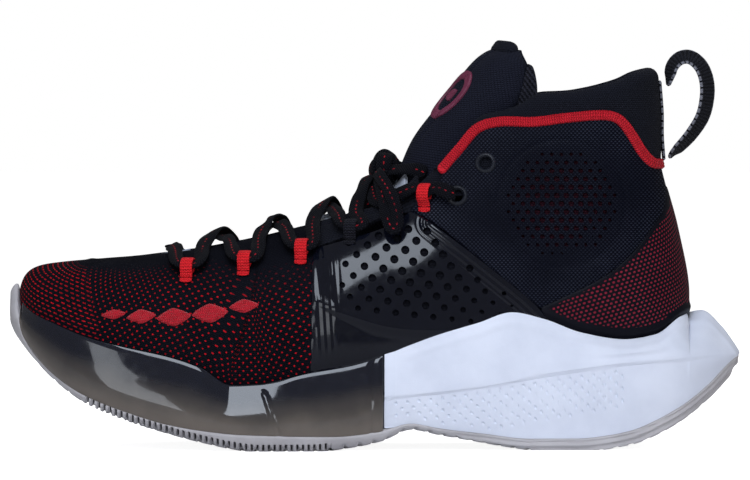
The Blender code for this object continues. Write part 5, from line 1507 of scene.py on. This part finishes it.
# A bow loop and the tails, as side-view x, z and lift off the last; a tail also says where it leaves the knot.
BOW_LOOP = ((7.7, 107.6, 8.4), (6.8, 101.5, 8.2), (6.4, 95.0, 6.8), (7.0, 90.6, 5.8), (8.8, 88.6, 5.6),
            (10.6, 90.8, 6.2), (11.2, 95.4, 7.6), (10.8, 101.5, 9.6), (9.2, 107.8, 11.0))
TAILS = (
    ((1.0, 5.4, 3.6),
     ((15.0, 112.0, 12.0), (24.0, 108.0, 10.0), (32.0, 97.0, 7.5), (36.0, 88.0, 4.4), (38.0, 79.0, 3.6))),
    ((-3.0, 3.4, 1.6),
     ((5.0, 99.5, 10.5), (-5.0, 92.5, 7.4), (-14.0, 87.5, 6.0), (-19.6, 80.5, 4.4), (-21.5, 71.0, 2.6))),
)
AGLET_LENGTH = 22.0


def build_lacing():
    """The zigzag halves, and the runs from the upper eyelets to the knot."""
    inside = [loop_frame(x, z, side) @ Vector((0.0, 0.2, LOOP_RISE / 2))
              for x, z in LACE_STOPS for side in (1, -1)]
    for k, (name, side) in enumerate(SIDES.items()):
        lace(f"lacing_{name}", lace_route(side), 10 + k, bunched=inside, replaces=[f"lace_half_{name}"])
    knot = on_tongue(0.0, KNOT_HEIGHT, KNOT_LIFT)
    for k, (name, side) in enumerate(SIDES.items()):
        route = [on_tongue(side * 17.5, 113.6, 3.2), on_tongue(side * 14.0, 115.4, 3.4),
                 knot + Vector((0.0, side * 6.0, -0.6))]
        lace(f"knot_run_{name}", route, 20 + k, replaces=[f"lace_run_{name}"])


def build_knot():
    knot = on_tongue(0.0, KNOT_HEIGHT, KNOT_LIFT)
    wraps = []
    for shift, long, tall, lean in KNOT_TURNS:
        turn = np.linspace(0.0, 2 * math.pi, 60)
        x, z = long * np.cos(turn), tall * np.sin(turn)
        y = shift + 1.6 * np.sin(turn + lean)
        ring = np.stack([knot.x + x * math.cos(lean) - y * math.sin(lean) * 0.6,
                         knot.y + y + x * math.sin(lean), knot.z + z], 1)
        wraps.append(ribbon(ring, unit(ring - np.array(tuple(knot))), 6.4, 2.6, ends=0, steps=16))
    put("bow_knot", joined(*wraps), LOOKS["lace"], replaces=["lace_knot"], slot="lace", angle=50)


def build_bow():
    """The loops and the tails with their tips, which hang loose."""
    knot = on_tongue(0.0, KNOT_HEIGHT, KNOT_LIFT)
    for k, (name, side) in enumerate(SIDES.items()):
        ends = [knot + Vector((dx, side * 5.0, -3.0)) for dx in (1.6, -3.2)]
        middle = [on_last(x, z, side, lift)[0] for x, z, lift in BOW_LOOP]
        bow, path = lace(f"bow_{name}", [ends[0], *middle, ends[1]], 30 + k, width=BOW_WIDTH, twist=0.06,
                         replaces=[f"bow_loop_{name}"])
    for k, (start, tail) in enumerate(TAILS):
        route = [knot + Vector(start)] + [on_last(x, z, 1, lift)[0] for x, z, lift in tail]
        end, path = lace(f"tail_{k + 1}", route, 40 + k, replaces=[f"lace_tail_{k + 1}"])
        run = unit(path[-1] - path[-3])
        points = path[-1] + run * np.linspace(-1.0, AGLET_LENGTH - 1.0, 30)[:, None]
        aglet = put(f"aglet_tip_{k + 1}", ribbon(points, last_ups(points), 3.6, 3.0, ends=0.8, steps=20),
                    LOOKS["tip"], replaces=[f"aglet_{k + 1}"], slot="aglet_plastic")


PULL_ENDS = ((122.9, 150.6), (123.3, 120.4))  # where the tab is sewn to the strap
PULL_END_WIDTH, PULL_WIDTH = 4.2, 11.0
PULL_LEAN = math.radians(34.0)  # the free part leans over, so that its face shows from the side


def build_pull_loop():
    route = (PULL_ENDS[0], *PULL_ROUTE, PULL_ENDS[1])
    path, _ = even([(x, 0.0, z) for x, z in route], 0.6)
    bulge = np.sin(math.pi * np.linspace(0.0, 1.0, len(path)))
    tangent = unit(np.gradient(path, axis=0))
    ups = np.stack([-tangent[:, 2], np.zeros(len(path)), tangent[:, 0]], 1)
    lean = (PULL_LEAN * np.maximum(bulge, 0.0) ** 0.3)[:, None]
    ups = ups * np.cos(lean) + np.array((0.0, -1.0, 0.0)) * np.sin(lean)
    width = PULL_END_WIDTH + (PULL_WIDTH - PULL_END_WIDTH) * np.minimum(1.0, 4.0 * bulge)
    put("pull_tab", ribbon(path, ups, width, 1.5, ends=0.8, steps=26), LOOKS["black_band"],
        body="pull_loop", replaces=["pull_loop"], slot="black_webbing", angle=50)


def build_pull_strap():
    """The strap up the back of the heel, which the tab is sewn to."""
    heel = []
    for z in (119.6, 130.0, 140.0, 153.0):
        hit = LAST_TREE.ray_cast(Vector((300.0, 0.0, z)), Vector((-1, 0, 0)))[0]
        heel.append((hit.x + 1.6, 0.0, z))
    path, _ = even(heel, 0.6)
    ups = np.tile((1.0, 0.0, 0.0), (len(path), 1))
    put("pull_strap", ribbon(path, ups, PULL_WIDTH, 1.4, ends=0.8, steps=26), LOOKS["black_band"],
        replaces=["pull_anchor_upper"], slot="black_webbing", angle=50)


build_vamp()
build_cages()
build_facings()
build_ankles()
build_heel()
build_collar()
build_linings()
build_piping()
build_accents()
build_outsole()
build_shell()
build_midsole()
build_tongue()
build_badge()
build_tip_binding()
build_gussets()
build_throat_film()
build_loops()
build_lacing()
build_knot()
build_bow()
build_pull_loop()
build_pull_strap()


# ---------------------------------------------------------------- floor and light
FLOOR_GLOW = 0.92
WORLD_GLOW = 0.12
BACKDROP_GLOW = 1.0
# Soft lamps: name, place, target, size, power, colour, and whether the glossy pieces mirror it, as they do the
# two softboxes in the photo.
LAMPS = (
    ("cage_box", (-0.10, -0.72, 0.86), (0.004, -0.04, 0.087), (0.5, 0.64), 4.4, (0.8, 0.88, 1.0), True),
    ("shell_box", (-0.62, -0.95, 0.2), (-0.1, -0.05, 0.03), (0.5, 0.36), 1.1, (0.88, 0.93, 1.0), True),
    ("key", (-0.4, -1.3, 0.9), (0.0, 0.0, 0.05), (0.9, 0.9), 6.6, (0.95, 0.97, 1.0), False),
    ("fill", (1.0, -1.1, 0.5), (0.05, 0.0, 0.06), (0.9, 1.1), 6.8, (1.0, 1.0, 1.0), False),
    ("top", (0.0, 0.35, 1.6), (0.0, 0.0, 0.05), (1.6, 1.0), 7.0, (1.0, 1.0, 1.0), False),
    ("back", (0.3, 1.3, 0.8), (0.0, 0.0, 0.08), (1.2, 0.8), 6.0, (1.0, 1.0, 1.0), False),
)


def build_lamp(name, place, target, size, power, colour, mirrored):
    data = bpy.data.lights.new(name, "AREA")
    data.shape = "RECTANGLE"
    data.size, data.size_y = size
    data.energy = power
    data.color = colour
    lamp = bpy.data.objects.new(name, data)
    bpy.context.scene.collection.objects.link(lamp)
    lamp.location = place
    lamp.visible_glossy = mirrored
    lamp.rotation_euler = (Vector(target) - Vector(place)).to_track_quat("-Z", "Y").to_euler()


def build_floor():
    """A white floor that glows for the camera alone, and looks dark to the glossy pieces."""
    bm = bmesh.new()
    bmesh.ops.create_grid(bm, x_segments=24, y_segments=24, size=6.0)
    mesh = bpy.data.meshes.new("studio_floor")
    bm.to_mesh(mesh)
    bm.free()
    floor = bpy.data.objects.new("studio_floor", mesh)
    bpy.context.scene.collection.objects.link(floor)
    look = Look("studio_floor", Roughness=0.9)
    glossy = look.node("LightPath", {}, output="Is Glossy Ray")
    look.set("Base Color", look.mix(glossy, (0.8, 0.8, 0.81), (0.25, 0.25, 0.26)))
    look.set("Emission Color", (1.0, 1.0, 1.0, 1.0))
    seen = look.node("LightPath", {}, output="Is Camera Ray")
    look.set("Emission Strength", look.math("MULTIPLY", seen, FLOOR_GLOW))
    mesh.materials.append(look.made)


def build_world():
    """White behind the shoe for the camera, and a weak even light on it."""
    world = bpy.data.worlds.new("studio")
    bpy.context.scene.world = world
    world.use_nodes = True
    tree = world.node_tree
    background = tree.nodes["Background"]
    background.inputs["Color"].default_value = (1.0, 1.0, 1.0, 1.0)
    path = tree.nodes.new("ShaderNodeLightPath")
    glow = tree.nodes.new("ShaderNodeMapRange")
    glow.inputs["To Min"].default_value = WORLD_GLOW
    glow.inputs["To Max"].default_value = BACKDROP_GLOW
    tree.links.new(path.outputs["Is Camera Ray"], glow.inputs["Value"])
    tree.links.new(glow.outputs["Result"], background.inputs["Strength"])


build_floor()
build_world()
for lamp in LAMPS:
    build_lamp(*lamp)
bpy.context.scene.view_settings.view_transform = "Standard"
